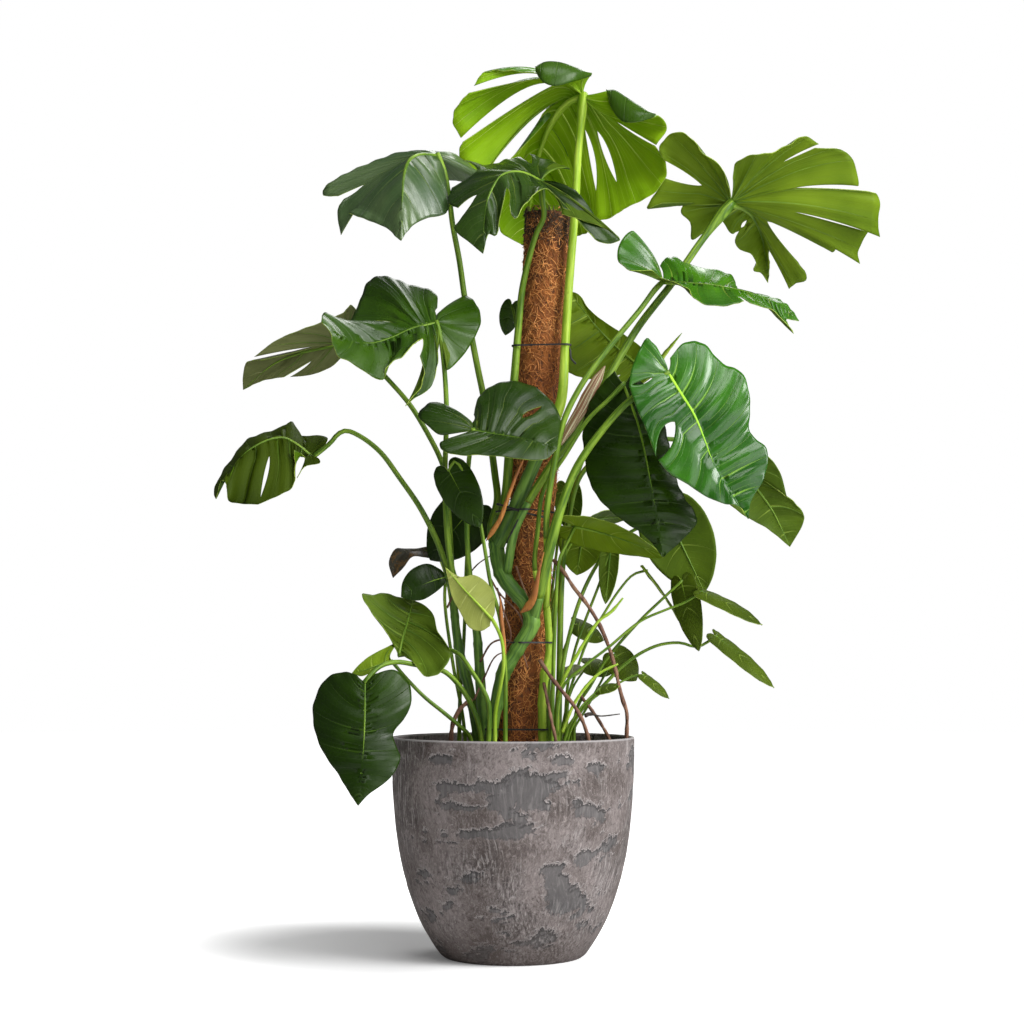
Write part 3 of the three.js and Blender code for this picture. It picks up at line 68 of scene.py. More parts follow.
# Where the pot's crust is torn open over slate in front: across, height, half width, half height
SLATE_PATCHES = [
    [18, 262, 40, 22], [45, 236, 24, 10], [-88, 262, 26, 9], [-44, 264, 16, 10], [-60, 232, 34, 7],
    [-38, 197, 26, 8], [98, 231, 16, 12], [70, 300, 20, 8], [120, 290, 14, 9], [-110, 300, 18, 7],
    [62, 120, 20, 30], [44, 44, 22, 16], [-90, 100, 22, 26], [100, 160, 14, 12],
]

# Moss pole: its foot, top and radius
POLE_FOOT = [-5, 0, 20]
POLE_TOP = [54, 0, 1133]
POLE_RADIUS = 35

# Coir fibres: seed, count, the lowest and highest start as shares of the pole's length, the
# shortest and longest, how far in mm they stand off the sleeve, and how far in radians they lean
FIBRES = {
  "fibres_lying": [21, 3000, 0.26, 0.99, (14, 40), 0.8, 1.4],
  "fibres_loose": [22, 1300, 0.26, 1.0, (10, 34), 2.6, 1.4],
  "fibres_top": [23, 700, 0.955, 1.0, (8, 30), 2.5, 1.0],
}

# Climbing stems: millimetres from one ring node to the next
NODE_DISTANCE = 46

# How fine the grids are: rings or steps along a form, then columns or sides round it
POT_RINGS, POT_COLUMNS = 190, 440
INSIDE_RINGS = 12
SOIL_RINGS, SOIL_COLUMNS = 110, 260
SLEEVE_RINGS, SLEEVE_COLUMNS = 420, 110
LID_RINGS = 10
FIBRE_STEPS, FIBRE_SIDES = 7, 3
SHEATH_STEPS, SHEATH_SIDES = 36, 16
FOLD_COLUMNS, FOLD_ROWS = 30, 12
FOLD_VEINS = 3
VINE_STEP, VINE_SIDES = 4, 18
CLASP_STEPS, CLASP_SIDES = 14, 12
PETIOLE_STEP, PETIOLE_SIDES = 9, 10
ROOT_STEP, ROOT_SIDES = 5, 9
CORD_STEP, CORD_SIDES = 3, 8
MIDRIB_STEPS, MIDRIB_SIDES = 40, 7
LATERAL_SIDES = 5

# How far in radians a stem's vein map is turned off its first side
MAP_TURN = 0.7

# Steps of a fine walk along a curve, and how near in mm two points are merged
CURVE_STEPS = 400
MERGE_DISTANCE = 0.02

# Leaf blades: thickness, a drawn blade's grid, its veins and its relief, and the
# length from which that is full
BLADE_THICKNESS = 1.2
COLUMN_STEP = 5
BLADE_ROWS = 20
RIB_STOPS = 28
CUT_ROUNDING = 0.8
VEIN_SPACING = 42
SHORTEST_VEIN = 30
QUILT_HEIGHT = 1.1
WAVE_HEIGHT = 1.2
WAVES_A_VEIN = 1.7
FULL_LEAF = 260

# A leaf's finishes by number, after 0 for its upper side: its underside, its stem,
# its edge and its raised veins
BELOW, STEM, EDGE, RIB = 1, 2, 3, 4

# Plain leaves: half an outline as [share of the half width, share of the length,
# below 0 of its lobes], the share of the outline whose veins all start at the joint,
# the grid of half a blade, and its side veins
OUTLINE = [
  [0.03, -0.05], [0.12, -0.6], [0.34, -1], [0.62, -0.9], [0.86, -0.25], [0.99, 0.15],
  [0.97, 0.4], [0.8, 0.63], [0.5, 0.83], [0.2, 0.95], [0, 1],
]
FAN_END = 0.42
PLAIN_COLUMNS, PLAIN_ROWS = 29, 12
PLAIN_VEINS = 5

# Climbing stems: the route from in the soil to the top, and the radius as [share of the length, radius]
VINES = {
  "vine_front": {
    "route": [[-39, -20, 262], [-33, -25, 327], [-27, -34, 366], [-15, -42, 421], [10, -52, 466],
      [28, -53, 501], [15, -53, 531], [-9, -45, 561], [-21, -36, 592], [-26, -30, 622]],
    "radii": [[0, 9], [0.4, 10], [0.45, 12], [0.5, 10], [0.66, 13], [0.72, 10], [0.88, 13], [1, 11]],
  },
  "vine_left_dark": {
    "route": [[-49, 31, 262], [-54, 28, 321], [-62, 26, 375], [-71, 24, 413], [-81, 22, 451],
      [-89, 20, 505], [-94, 20, 574]],
    "radii": [[0, 7], [0.5, 8], [1, 5]],
  },
  "vine_left_mid": {
    "route": [[-39, 7, 262], [-43, 4, 330], [-47, 2, 365], [-49, 0, 398], [-52, -4, 444], [-55, -6, 486],
      [-64, -8, 550]],
    "radii": [[0, 7], [0.5, 8], [1, 5]],
  },
  "vine_right": {
    "route": [[44, -38, 262], [44, -38, 324], [44, -40, 384], [47, -42, 414], [54, -42, 451],
      [54, -42, 481], [50, -42, 534]],
    "radii": [[0, 6], [0.55, 6.5], [0.6, 8], [0.66, 6], [1, 5]],
  },
}

# Leaves: the joint, where the upper side faces, and the petiole's route and radii, with the
# vine that it clasps and the share of it that lies there. A drawn blade has its rib and each
# half's fingers in picture points and depth. A finger has the place of its last vein on the
# rib, its lift, its edge, and the cut after it by start, end and bulge. A plain blade has
# its tip, width, lobes, bend and curl in degrees, and its wave by height and count
LEAVES = {
  "leaf_top": {
    "joint": [111, 60, 1338], "faces": [0, 0.75, 0.65], "lift": 0.08,
    "rib": [[583, 95, 60], [567, 103, 78], [552, 122, 100], [541, 148, 120], [532, 195, 140],
      [524, 246, 150]],
    "left": [
      { "root": 0, "lift": 0.2, "cut": [0.35, 0.8, 4], "edge": [[592, 74, 30], [575, 81, -5],
        [556, 86, -20], [543, 82, -10]] },
      { "root": 0, "lift": 0.35, "cut": [0.4, 1, 7], "edge": [[536, 66, -10], [505, 67, -15],
        [483, 72, -20], [474, 86, -25]] },
      { "root": 0.02, "lift": 0.75, "cut": [0.35, 1, 9], "edge": [[469, 93, -20], [456, 108, -10],
        [453, 122, 0], [461, 138, 10]] },
      { "root": 0.08, "lift": 0.75, "cut": [0.35, 1, 9], "edge": [[463, 142, 15], [459, 152, 25],
        [463, 166, 40], [478, 180, 55], [490, 168, 60]] },
      { "root": 1, "lift": 0, "edge": [[504, 165, 70], [505, 182, 88], [501, 205, 110],
        [500, 230, 130]] },
    ],
    "right": [
      { "root": 0, "lift": 0.05, "cut": [0.35, 0.8, 4], "edge": [[607, 91, 30], [614, 107, 5],
        [628, 120, -15], [645, 119, -20], [656, 115, -15]] },
      { "root": 0, "lift": 0.2, "cut": [0.5, 1, 1], "edge": [[660, 116, -10], [667, 123, -8],
        [666, 131, -5], [656, 145, 0]] },
      { "root": 0.02, "lift": 0.35, "cut": [0.35, 0.8, 6], "edge": [[655, 146, 2], [663, 158, 8],
        [667, 170, 12], [662, 184, 18], [650, 196, 24], [636, 203, 30], [624, 209, 36]] },
      { "root": 0.06, "lift": 0.35, "cut": [0.3, 0.8, 5], "edge": [[624, 209, 36], [612, 217, 44],
        [597, 221, 52]] },
      { "root": 1, "lift": 0, "edge": [[597, 221, 52], [588, 232, 70], [577, 236, 85], [550, 243, 120]] },
    ],
    "vine": "vine_front", "clasp": 0.24, "radii": [[0, 11], [0.2, 10], [0.4, 7], [0.9, 6], [1, 8]],
    "route": [[-27, -28, 610], [-8, -48, 648], [15, -60, 699], [36, -58, 747], [56, -55, 790],
      [73, -50, 836], [79, -40, 915], [84, -34, 993], [90, -32, 1070], [95, -28, 1126], [101, 10, 1221],
      [109, 48, 1303]],
  },
  "leaf_upper_right": {
    "joint": [343, 40, 1160], "faces": [0, 0.55, 0.83], "lift": 0.08,
    "rib": [[731, 203, 40], [745, 208, 75], [755, 219, 120], [762, 236, 160], [766, 258, 190],
      [768, 283, 210]],
    "left": [
      { "root": 0, "cut": [0.45, 1, 3], "edge": [[727, 184, 10], [722, 168, -5], [702, 152, -20],
        [690, 137, -20], [676, 132, -15], [664, 140, -5], [659, 150, 0], [664, 160, 5]] },
      { "root": 0.05, "cut": [0.6, 1, 0], "edge": [[665, 178, 20], [655, 194, 30], [647, 208, 38],
        [662, 203, 40]] },
      { "root": 0.15, "cut": [0.5, 1, 0], "edge": [[683, 205, 55], [681, 213, 60], [690, 222, 70],
        [692, 240, 80], [703, 229, 85]] },
      { "root": 0.35, "cut": [0.3, 0.8, 4], "edge": [[722, 220, 95], [731, 233, 110], [739, 230, 125]] },
      { "root": 1, "edge": [[739, 232, 128], [735, 243, 140], [740, 250, 150], [752, 255, 165],
        [756, 264, 180], [754, 271, 190], [761, 273, 200]] },
    ],
    "right": [
      { "root": 0, "cut": [0.6, 1, 2], "edge": [[733, 178, 10], [736, 163, -10], [752, 155, -25],
        [770, 153, -25], [790, 144, -20], [805, 136, -15], [819, 144, -10]] },
      { "root": 0, "cut": [0.42, 1, 2], "edge": [[815, 148, -5], [842, 150, 5], [853, 160, 15],
        [858, 186, 30], [848, 178, 28]] },
      { "root": 0.02, "cut": [0.46, 1, 2], "edge": [[864, 191, 35], [877, 194, 45], [880, 205, 50],
        [878, 222, 58], [880, 237, 65]] },
      { "root": 0.1, "cut": [0.43, 1, 2], "edge": [[868, 232, 75], [861, 244, 85], [858, 254, 90],
        [860, 264, 95]] },
      { "root": 0.2, "cut": [0.35, 1, 2], "edge": [[838, 247, 110], [832, 252, 115], [824, 246, 118]] },
      { "root": 0.5, "cut": [0.55, 1, 1], "edge": [[798, 262, 150], [807, 279, 160], [795, 284, 165],
        [789, 289, 168]] },
      { "root": 1, "edge": [[770, 262, 185], [769, 274, 200]] },
    ],
    "vine": "vine_front", "clasp": 0.16, "radii": [[0, 7], [0.3, 6], [0.9, 5.5], [0.97, 9], [1, 7]],
    "route": [[-9, -50, 576], [3, -72, 638], [25, -80, 683], [48, -78, 720], [71, -68, 756],
      [101, -54, 798], [132, -38, 850], [161, -22, 902], [195, -8, 958], [247, 10, 1027], [292, 26, 1093],
      [328, 38, 1142]],
  },
  "leaf_upper_left": {
    "joint": [-117, -20, 1221], "faces": [-0.1, -0.75, 0.65], "lift": 0.12,
    "rib": [[437, 155, -20], [420, 154, -50], [409, 160, -85], [404, 175, -108], [402, 205, -125],
      [401, 241, -135]],
    "left": [
      { "root": 1, "edge": [[446, 190, -45], [449, 205, -70], [445, 214, -85], [428, 218, -100],
        [415, 224, -115], [406, 233, -128]] },
    ],
    "right": [
      { "root": 0, "cut": [0.8, 1, 0], "edge": [[447, 180, 18], [465, 181, 26], [484, 178, 32],
        [470, 165, 26], [454, 153, 14]] },
      { "root": 0.12, "cut": [0.72, 1, 2], "edge": [[450, 152, 12], [425, 151, 14], [398, 153, 10],
        [370, 163, 0], [345, 174, -8], [325, 187, -15], [323, 195, -18], [338, 196, -25]] },
      { "root": 0.35, "cut": [0.8, 1, 1], "edge": [[344, 199, -45], [338, 208, -50], [338, 220, -50],
        [341, 235, -50]] },
      { "root": 1, "edge": [[349, 213, -80], [362, 218, -95], [375, 223, -105], [388, 229, -118],
        [396, 237, -130]] },
    ],
    "vine": "vine_front", "clasp": 0.08, "radii": [[0, 6], [0.4, 5], [0.95, 4], [1, 5]],
    "route": [[-24, -34, 600], [-34, -10, 640], [-24, 2, 690], [-28, 8, 730], [-35, 10, 782],
      [-46, 10, 852], [-54, 8, 891], [-63, 4, 937], [-74, 0, 998], [-83, -6, 1060], [-93, -12, 1113],
      [-97, -16, 1144], [-105, -20, 1190]],
  },
  "leaf_over_pole": {
    "joint": [43, -50, 1173], "faces": [-0.1, -0.5, 0.85], "lift": 0.08,
    "rib": [[541, 181, -50], [522, 172, -78], [503, 174, -108], [489, 195, -135], [484, 225, -145],
      [483, 254, -150]],
    "left": [
      { "root": 0, "cut": [0.4, 1, 2], "edge": [[560, 183, -70], [576, 191, -80], [594, 217, -95],
        [578, 214, -105], [563, 208, -110]] },
      { "root": 0.05, "cut": [0.35, 1, 2], "edge": [[562, 214, -115], [585, 221, -120], [612, 232, -125],
        [620, 240, -128], [602, 243, -130], [585, 229, -130]] },
      { "root": 0.4, "cut": [0.5, 1, 2], "edge": [[537, 192, -140], [526, 203, -150], [514, 219, -165],
        [509, 205, -160]] },
      { "root": 1, "edge": [[502, 208, -152], [495, 236, -150], [489, 234, -150]] },
    ],
    "right": [
      { "root": 0, "cut": [0.5, 1, 2], "edge": [[556, 163, 0], [570, 169, -5], [545, 159, 10],
        [530, 154, 15]] },
      { "root": 0.3, "cut": [0.6, 1, 2], "edge": [[520, 157, 10], [505, 160, 0], [490, 165, -15],
        [463, 160, -35]] },
      { "root": 0.5, "cut": [0.5, 1, 2], "edge": [[452, 188, -60], [448, 203, -90], [458, 208, -105]] },
      { "root": 1, "edge": [[466, 212, -120], [455, 229, -130], [470, 243, -142]] },
    ],
    "vine": "vine_front", "clasp": 0.1, "radii": [[0, 7], [0.3, 7], [0.9, 4], [1, 5]],
    "route": [[-29, -36, 605], [-19, -34, 656], [-11, -30, 694], [-6, -28, 755], [-2, -28, 824],
      [3, -30, 885], [8, -30, 947], [14, -32, 1008], [24, -40, 1054], [35, -46, 1091], [47, -48, 1118],
      [45, -50, 1144]],
  },
  "leaf_right_twisted": {
    "joint": [230, -30, 1022], "faces": [0, -0.5, 0.85], "lift": 0.02,
    "rib": [[663, 281, -30], [690, 283, -45], [720, 286, -60], [750, 293, -65], [780, 305, -65],
      [799, 321, -60]],
    "left": [
      { "root": 0.5, "cut": [0.7, 1, 0], "edge": [[660, 266, -5], [665, 259, 5], [674, 257, 10],
        [690, 265, 8], [720, 271, 0], [733, 277, -10], [736, 288, -22]] },
      { "root": 1, "edge": [[742, 290, -26], [765, 296, -38], [780, 300, -46], [790, 308, -52]] },
    ],
    "right": [
      { "root": 0, "cut": [0.45, 1, 1], "edge": [[653, 264, -35], [640, 245, -40], [632, 231, -45],
        [620, 243, -52], [618, 260, -60], [630, 270, -66], [652, 270, -62]] },
      { "root": 0.5, "cut": [0.6, 1, 1], "edge": [[674, 282, -72], [688, 289, -85], [696, 300, -90],
        [715, 306, -95], [735, 304, -95], [744, 301, -95]] },
      { "root": 1, "edge": [[750, 303, -90], [775, 312, -88], [794, 333, -82], [786, 320, -76]] },
    ],
    "vine": "vine_right", "clasp": 0.2, "radii": [[0, 5], [0.5, 4.5], [1, 4]],
    "route": [[50, -42, 520], [52, -66, 580], [50, -98, 660], [63, -98, 744], [76, -96, 800],
      [101, -84, 852], [131, -70, 896], [162, -58, 936], [194, -46, 976], [217, -36, 1008]],
  },
  "leaf_mid_left_front": {
    "joint": [-116, -60, 954], "faces": [-0.1, -0.6, 0.8], "lift": 0.06,
    "rib": [[436, 322, -60], [413, 328, -75], [390, 338, -95], [370, 343, -115], [350, 340, -130],
      [321, 322, -138]],
    "left": [
      { "root": 0.12, "cut": [0.55, 1, 2], "edge": [[434, 336, -75], [437, 352, -88], [437, 366, -96],
        [430, 388, -110], [415, 398, -120], [405, 406, -125], [420, 388, -126], [424, 372, -126],
        [420, 356, -122]] },
      { "root": 1, "edge": [[410, 348, -125], [402, 357, -130], [392, 362, -135], [385, 371, -140],
        [383, 380, -145], [368, 374, -150], [352, 363, -155], [338, 356, -160], [333, 345, -160],
        [330, 332, -152]] },
    ],
    "right": [
      { "root": 0, "cut": [0.35, 1, 0], "edge": [[442, 335, -55], [450, 354, -60], [447, 370, -64],
        [461, 358, -52], [475, 337, -42], [481, 320, -28], [476, 304, -14], [466, 296, -5],
        [452, 306, -15]] },
      { "root": 0.2, "cut": [0.3, 1, 8], "edge": [[437, 308, -25], [437, 296, -15], [428, 289, 0],
        [410, 285, 10], [395, 279, 15], [380, 276, 15], [368, 282, 5], [361, 298, -12], [354, 314, -28],
        [349, 324, -40]] },
      { "root": 1, "edge": [[345, 323, -62], [336, 318, -85], [324, 313, -110]] },
    ],
    "vine": "vine_left_mid", "clasp": 0.1, "radii": [[0, 5], [0.5, 4], [1, 3.5]],
    "route": [[-63, -8, 545], [-88, -22, 568], [-96, -30, 603], [-101, -36, 655], [-103, -40, 716],
      [-101, -50, 837], [-109, -60, 926]],
  },
  "leaf_mid_left_back": {
    "joint": [-254, 30, 938], "faces": [0, 0.55, 0.83], "lift": 0.05,
    "rib": [[350, 342, 30], [325, 347, 36], [300, 353, 42], [275, 363, 48], [243, 390, 55]],
    "left": [
      { "root": 0.12, "cut": [0.4, 1, 2], "edge": [[358, 312, 0], [351, 305, -5], [344, 312, 0],
        [325, 321, 5], [300, 330, 10], [275, 341, 15], [254, 357, 20]] },
      { "root": 1, "edge": [[262, 360, 36], [247, 362, 42], [243, 376, 50]] },
    ],
    "right": [
      { "root": 0.2, "cut": [0.5, 1, 3], "edge": [[342, 357, 33], [331, 367, 35], [310, 375, 38],
        [290, 377, 40]] },
      { "root": 1, "edge": [[284, 377, 44], [262, 381, 50]] },
    ],
    "vine": "vine_left_dark", "clasp": 0.08, "radii": [[0, 5], [0.5, 4], [1, 3.5]],
    "route": [[-94, 20, 568], [-99, 26, 659], [-104, 28, 729], [-113, 28, 756], [-129, 28, 788],
      [-160, 28, 839], [-199, 30, 884], [-230, 30, 917]],
  },
  "leaf_left_curled": {
    "joint": [-305, -20, 753], "faces": [-0.2, -0.3, 0.93], "lift": 0.12,
    "rib": [[313, 457, -20], [297, 444, -30], [282, 437, -45], [262, 442, -58], [243, 455, -68],
      [228, 475, -68], [216, 499, -60]],
    "left": [
      { "root": 0.05, "cut": [0.4, 1, 0], "edge": [[319, 459, -30], [320, 463, -35], [306, 466, -40],
        [297, 478, -45]] },
      { "root": 0.4, "cut": [0.3, 0.9, 5], "edge": [[294, 450, -62], [295, 470, -72], [293, 487, -78],
        [280, 495, -86], [260, 504, -92]] },
      { "root": 1, "edge": [[256, 505, -94], [240, 504, -98], [228, 501, -98], [226, 485, -96],
        [222, 480, -84]] },
    ],
    "right": [
      { "root": 0.08, "cut": [0.4, 1, 0], "edge": [[322, 448, 0], [328, 438, 8], [318, 436, 12],
        [301, 436, 10]] },
      { "root": 1, "edge": [[297, 431, 8], [292, 422, 4], [280, 428, 2], [262, 434, -4], [247, 440, -12],
        [235, 455, -24], [222, 473, -36], [214, 492, -48]] },
    ],
    "vine": "vine_left_dark", "clasp": 0.12, "radii": [[0, 5], [0.5, 4], [1, 3.5]],
    "route": [[-89, 20, 536], [-106, 6, 597], [-117, 0, 627], [-142, -6, 676], [-173, -12, 721],
      [-203, -16, 761], [-234, -18, 785], [-255, -20, 793], [-267, -20, 788], [-279, -20, 774]],
  },
  "leaf_centre": {
    "joint": [-59, -110, 784], "faces": [0, -0.5, 0.87], "lift": 0.08,
    "rib": [[473, 430, -110], [495, 434, -122], [520, 438, -134], [540, 443, -142], [557, 449, -150]],
    "left": [
      { "root": 0, "cut": [0.35, 1, 0], "edge": [[452, 432, -106], [440, 435, -108], [428, 426, -100],
        [418, 416, -90], [424, 407, -78], [433, 402, -70], [444, 405, -72], [456, 414, -82]] },
      { "root": 0.4, "cut": [0.4, 0.8, 8], "edge": [[474, 415, -80], [478, 399, -66], [490, 387, -58],
        [510, 381, -58], [535, 387, -68], [553, 402, -85]] },
      { "root": 1, "edge": [[553, 403, -86], [560, 417, -98], [559, 432, -124]] },
    ],
    "right": [
      { "root": 1, "edge": [[450, 438, -126], [440, 443, -132], [442, 450, -142], [458, 455, -152],
        [480, 455, -160], [505, 457, -166], [530, 460, -166], [546, 459, -160]] },
    ],
    "vine": "vine_left_mid", "clasp": 0.2, "radii": [[0, 4.5], [0.5, 4], [1, 3.5]],
    "route": [[-53, -6, 474], [-66, -30, 580], [-70, -36, 640], [-70, -38, 699], [-66, -64, 745],
      [-61, -100, 772]],
  },
  "leaf_behind_pole": {
    "joint": [219, 64, 892], "faces": [0.2, 0.7, 0.65], "lift": 0.08,
    "rib": [[652, 374, 64], [622, 352, 72], [596, 326, 84], [569, 291, 94]],
    "left": [
      { "root": 1, "edge": [[652, 358, 66], [640, 346, 68], [625, 335, 74], [605, 322, 80],
        [590, 310, 86], [578, 294, 92]] },
    ],
    "right": [
      { "root": 0.15, "cut": [0.5, 1, 0], "edge": [[640, 386, 56], [626, 392, 54], [612, 395, 52],
        [604, 383, 54]] },
      { "root": 1, "edge": [[596, 380, 56], [580, 377, 60], [563, 368, 62], [559, 345, 66],
        [561, 315, 76]] },
    ],
    "radii": [[0, 5], [0.6, 4.5], [1, 3.5]],
    "route": [[70, 50, 262], [72, 50, 420], [78, 50, 600], [96, 54, 720], [130, 62, 800], [180, 72, 862]],
  },
  "leaf_right_dark": {
    "joint": [166, -84, 856], "faces": [-0.2, -0.95, 0.2], "lift": 0.08,
    "rib": [[624, 384, -84], [638, 425, -95], [648, 470, -108], [656, 515, -118], [663, 557, -122]],
    "left": [
      { "root": 1, "edge": [[631, 373, -86], [646, 387, -82], [660, 412, -80], [668, 440, -82],
        [673, 470, -86], [683, 495, -92], [697, 520, -100], [683, 539, -112]] },
    ],
    "right": [
      { "root": 1, "edge": [[615, 371, -72], [603, 383, -64], [590, 402, -60], [583, 428, -62],
        [584, 452, -68], [589, 480, -78], [600, 500, -88], [622, 520, -100], [645, 536, -112]] },
    ],
    "vine": "vine_right", "clasp": 0.15, "radii": [[0, 4], [0.5, 3], [1, 3.5]],
    "route": [[50, -42, 528], [33, -62, 576], [37, -72, 638], [46, -76, 698], [78, -84, 749],
      [112, -86, 802], [146, -88, 835]],
  },
  "leaf_right_bright": {
    "joint": [229, -125, 868], "faces": [0.1, -0.9, 0.4], "lift": 0.08,
    "rib": [[668, 372, -125], [681, 393, -134], [694, 414, -141], [704, 438, -147], [714, 464, -152],
      [731, 493, -157], [748, 519, -160]],
    "left": [
      { "root": 1, "edge": [[670, 358, -126], [684, 343, -118], [702, 343, -114], [722, 363, -118],
        [742, 373, -126], [750, 400, -136], [750, 432, -140], [767, 450, -146], [764, 478, -154],
        [751, 501, -160]] },
    ],
    "right": [
      { "root": 0, "cut": [0.35, 0.92, 5], "edge": [[664, 360, -128], [656, 347, -130], [647, 338, -132],
        [638, 352, -136], [631, 370, -139], [629, 384, -141]] },
      { "root": 0.25, "cut": [0.35, 1, 12], "edge": [[629, 387, -141], [637, 410, -146], [646, 430, -150],
        [656, 457, -155]] },
      { "root": 1, "edge": [[658, 460, -156], [668, 472, -158], [690, 486, -160], [705, 496, -162],
        [725, 504, -163], [738, 506, -163]] },
    ],
    "vine": "vine_front", "clasp": 0.1, "radii": [[0, 9], [0.3, 8], [0.5, 6], [1, 4.5]],
    "route": [[29, -52, 500], [43, -82, 560], [57, -102, 620], [73, -106, 675], [98, -108, 735],
      [159, -116, 814], [203, -120, 850]],
  },
  "leaf_right_back": {
    "joint": [334, 30, 761], "faces": [0, 0.7, 0.7], "lift": 0.08,
    "rib": [[728, 455, 30], [750, 480, 45], [772, 510, 55], [790, 547, 60]],
    "left": [
      { "root": 1, "edge": [[718, 468, 32], [722, 495, 38], [742, 514, 46], [768, 529, 54]] },
    ],
    "right": [
      { "root": 0.2, "cut": [0.5, 1, 1], "edge": [[742, 445, 20], [757, 448, 22], [769, 457, 25],
        [780, 472, 30], [787, 497, 35]] },
      { "root": 1, "edge": [[776, 489, 40], [795, 503, 48], [804, 515, 52], [803, 524, 55]] },
    ],
    "radii": [[0, 4.5], [0.6, 4], [1, 3.5]],
    "route": [[66, -12, 262], [70, -14, 420], [74, -8, 560], [84, 8, 650], [106, 14, 730], [166, 24, 776],
      [260, 36, 785]],
  },
  "leaf_right_heart": {
    "joint": [238, 16, 666], "tip": [294, 12, 547], "faces": [0, 0.9, 0.3], "width": 110, "lobe": 0.2,
    "bend": 10, "curl": -15, "wave": [2, 2],
    "radii": [[0, 3.5], [0.6, 3], [1, 2.5]],
    "route": [[66, -44, 262], [71, -44, 399], [80, -26, 459], [102, -6, 535], [128, 14, 588],
      [150, 20, 618], [180, 20, 640]],
  },
  "leaf_shoot_grey": {
    "joint": [94, -34, 646], "tip": [226, -50, 599], "faces": [0, 0.5, 0.85], "width": 80, "lobe": 0.2,
    "bend": 20, "curl": -20, "wave": [2, 2],
    "radii": [[0, 3.5], [1, 2.5]],
    "route": [[56, -64, 262], [60, -62, 420], [64, -58, 520], [70, -50, 594], [84, -42, 625]],
  },
  "leaf_shoot_hanging": {
    "joint": [109, 32, 645], "tip": [99, 43, 575], "faces": [0.1, 0.9, 0.3], "width": 72, "lobe": 0.25,
    "bend": 20, "curl": -20, "wave": [2, 2],
    "radii": [[0, 3], [1, 2.5]],
    "route": [[51, 31, 262], [55, 27, 480], [68, 26, 560], [86, 28, 618]],
  },
  "leaf_shoot_back": {
    "joint": [120, 60, 662], "tip": [180, 95, 668], "faces": [0, 0.5, 0.8], "width": 60, "lobe": 0.2,
    "bend": 15, "curl": -20, "wave": [2, 2],
    "radii": [[0, 3], [1, 2.5]],
    "route": [[56, 46, 262], [58, 56, 460], [76, 66, 580], [100, 62, 636]],
  },
  "leaf_shoot_round": {
    "joint": [84, 30, 711], "tip": [90, 38, 640], "faces": [0, 0.9, 0.2], "width": 45, "lobe": 0.15,
    "bend": 20, "curl": -20, "wave": [1, 2],
    "radii": [[0, 3], [1, 2]],
    "route": [[44, 44, 262], [50, 48, 420], [64, 42, 580], [76, 34, 670]],
  },
  "leaf_shoot_slim": {
    "joint": [149, 4, 613], "tip": [141, -8, 529], "faces": [0.2, 0.9, 0.2], "width": 32, "lobe": 0.1,
    "bend": 15, "curl": -30, "wave": [1, 2],
    "radii": [[0, 2.5], [1, 2]],
    "route": [[78, 16, 262], [83, 16, 398], [95, 16, 459], [111, 12, 505], [134, 6, 565]],
  },
  "leaf_left_dark_flap": {
    "joint": [-96, -74, 727], "tip": [-49, -86, 641], "faces": [-0.3, -0.9, 0.3],
    "width": 62, "lobe": 0.15,
    "bend": 15, "curl": -30, "wave": [1, 2],
    "radii": [[0, 3.5], [0.6, 3], [1, 2]],
    "route": [[-12, -56, 262], [-12, -60, 436], [-19, -68, 504], [-33, -72, 556], [-42, -72, 608],
      [-50, -70, 653], [-60, -72, 684], [-71, -74, 717], [-87, -74, 741]],
  },
  "leaf_left_broad": {
    "joint": [-67, 46, 675], "tip": [-129, 62, 599], "faces": [0, -0.95, 0.3], "width": 95, "lobe": 0.25,
    "bend": 15, "curl": -20, "wave": [2, 2],
    "radii": [[0, 3], [1, 2.5]],
    "route": [[-84, 44, 262], [-82, 44, 382], [-76, 44, 475], [-72, 44, 600]],
  },
  "leaf_left_withered": {
    "joint": [-118, 84, 611], "faces": [-0.1, -0.9, 0.4], "lift": 0.12,
    "rib": [[438, 553, 84], [422, 551, 80], [407, 553, 76], [397, 561, 72], [393, 578, 68]],
    "left": [
      { "root": 1, "edge": [[438, 561, 78], [424, 557, 70], [412, 557, 66], [404, 567, 62]] },
    ],
    "right": [
      { "root": 1, "edge": [[440, 542, 90], [426, 547, 84], [410, 549, 84], [396, 549, 80],
        [389, 562, 72]] },
    ],
    "radii": [[0, 2.5], [1, 2]],
    "route": [[-82, 62, 262], [-84, 66, 400], [-94, 74, 500], [-104, 82, 570]],
  },
  "leaf_left_oval": {
    "joint": [-102, -16, 570], "faces": [-0.2, -0.8, 0.5], "lift": 0.08,
    "rib": [[446, 577, -16], [432, 581, -20], [416, 588, -24], [401, 597, -28]],
    "left": [
      { "root": 1, "edge": [[446, 583, -20], [436, 592, -24], [422, 600, -28], [410, 600, -29]] },
    ],
    "right": [
      { "root": 1, "edge": [[441, 570, -10], [429, 564, -6], [414, 568, -10], [403, 581, -18]] },
    ],
    "radii": [[0, 3], [1, 2.5]],
    "route": [[-70, 36, 262], [-76, 26, 350], [-92, 6, 440], [-104, -8, 535]],
  },
  "leaf_left_pale": {
    "joint": [-31, -96, 504], "faces": [-0.1, 0.95, 0.2], "lift": 0.08,
    "rib": [[492, 619, -96], [478, 604, -104], [462, 587, -110], [445, 567, -114]],
    "left": [
      { "root": 1, "edge": [[495, 611, -92], [494, 596, -92], [488, 584, -96], [474, 575, -102],
        [460, 577, -107]] },
    ],
    "right": [
      { "root": 1, "edge": [[490, 626, -94], [481, 631, -96], [470, 628, -100], [460, 612, -104],
        [452, 597, -107], [448, 580, -111]] },
    ],
    "radii": [[0, 3.5], [1, 2.5]],
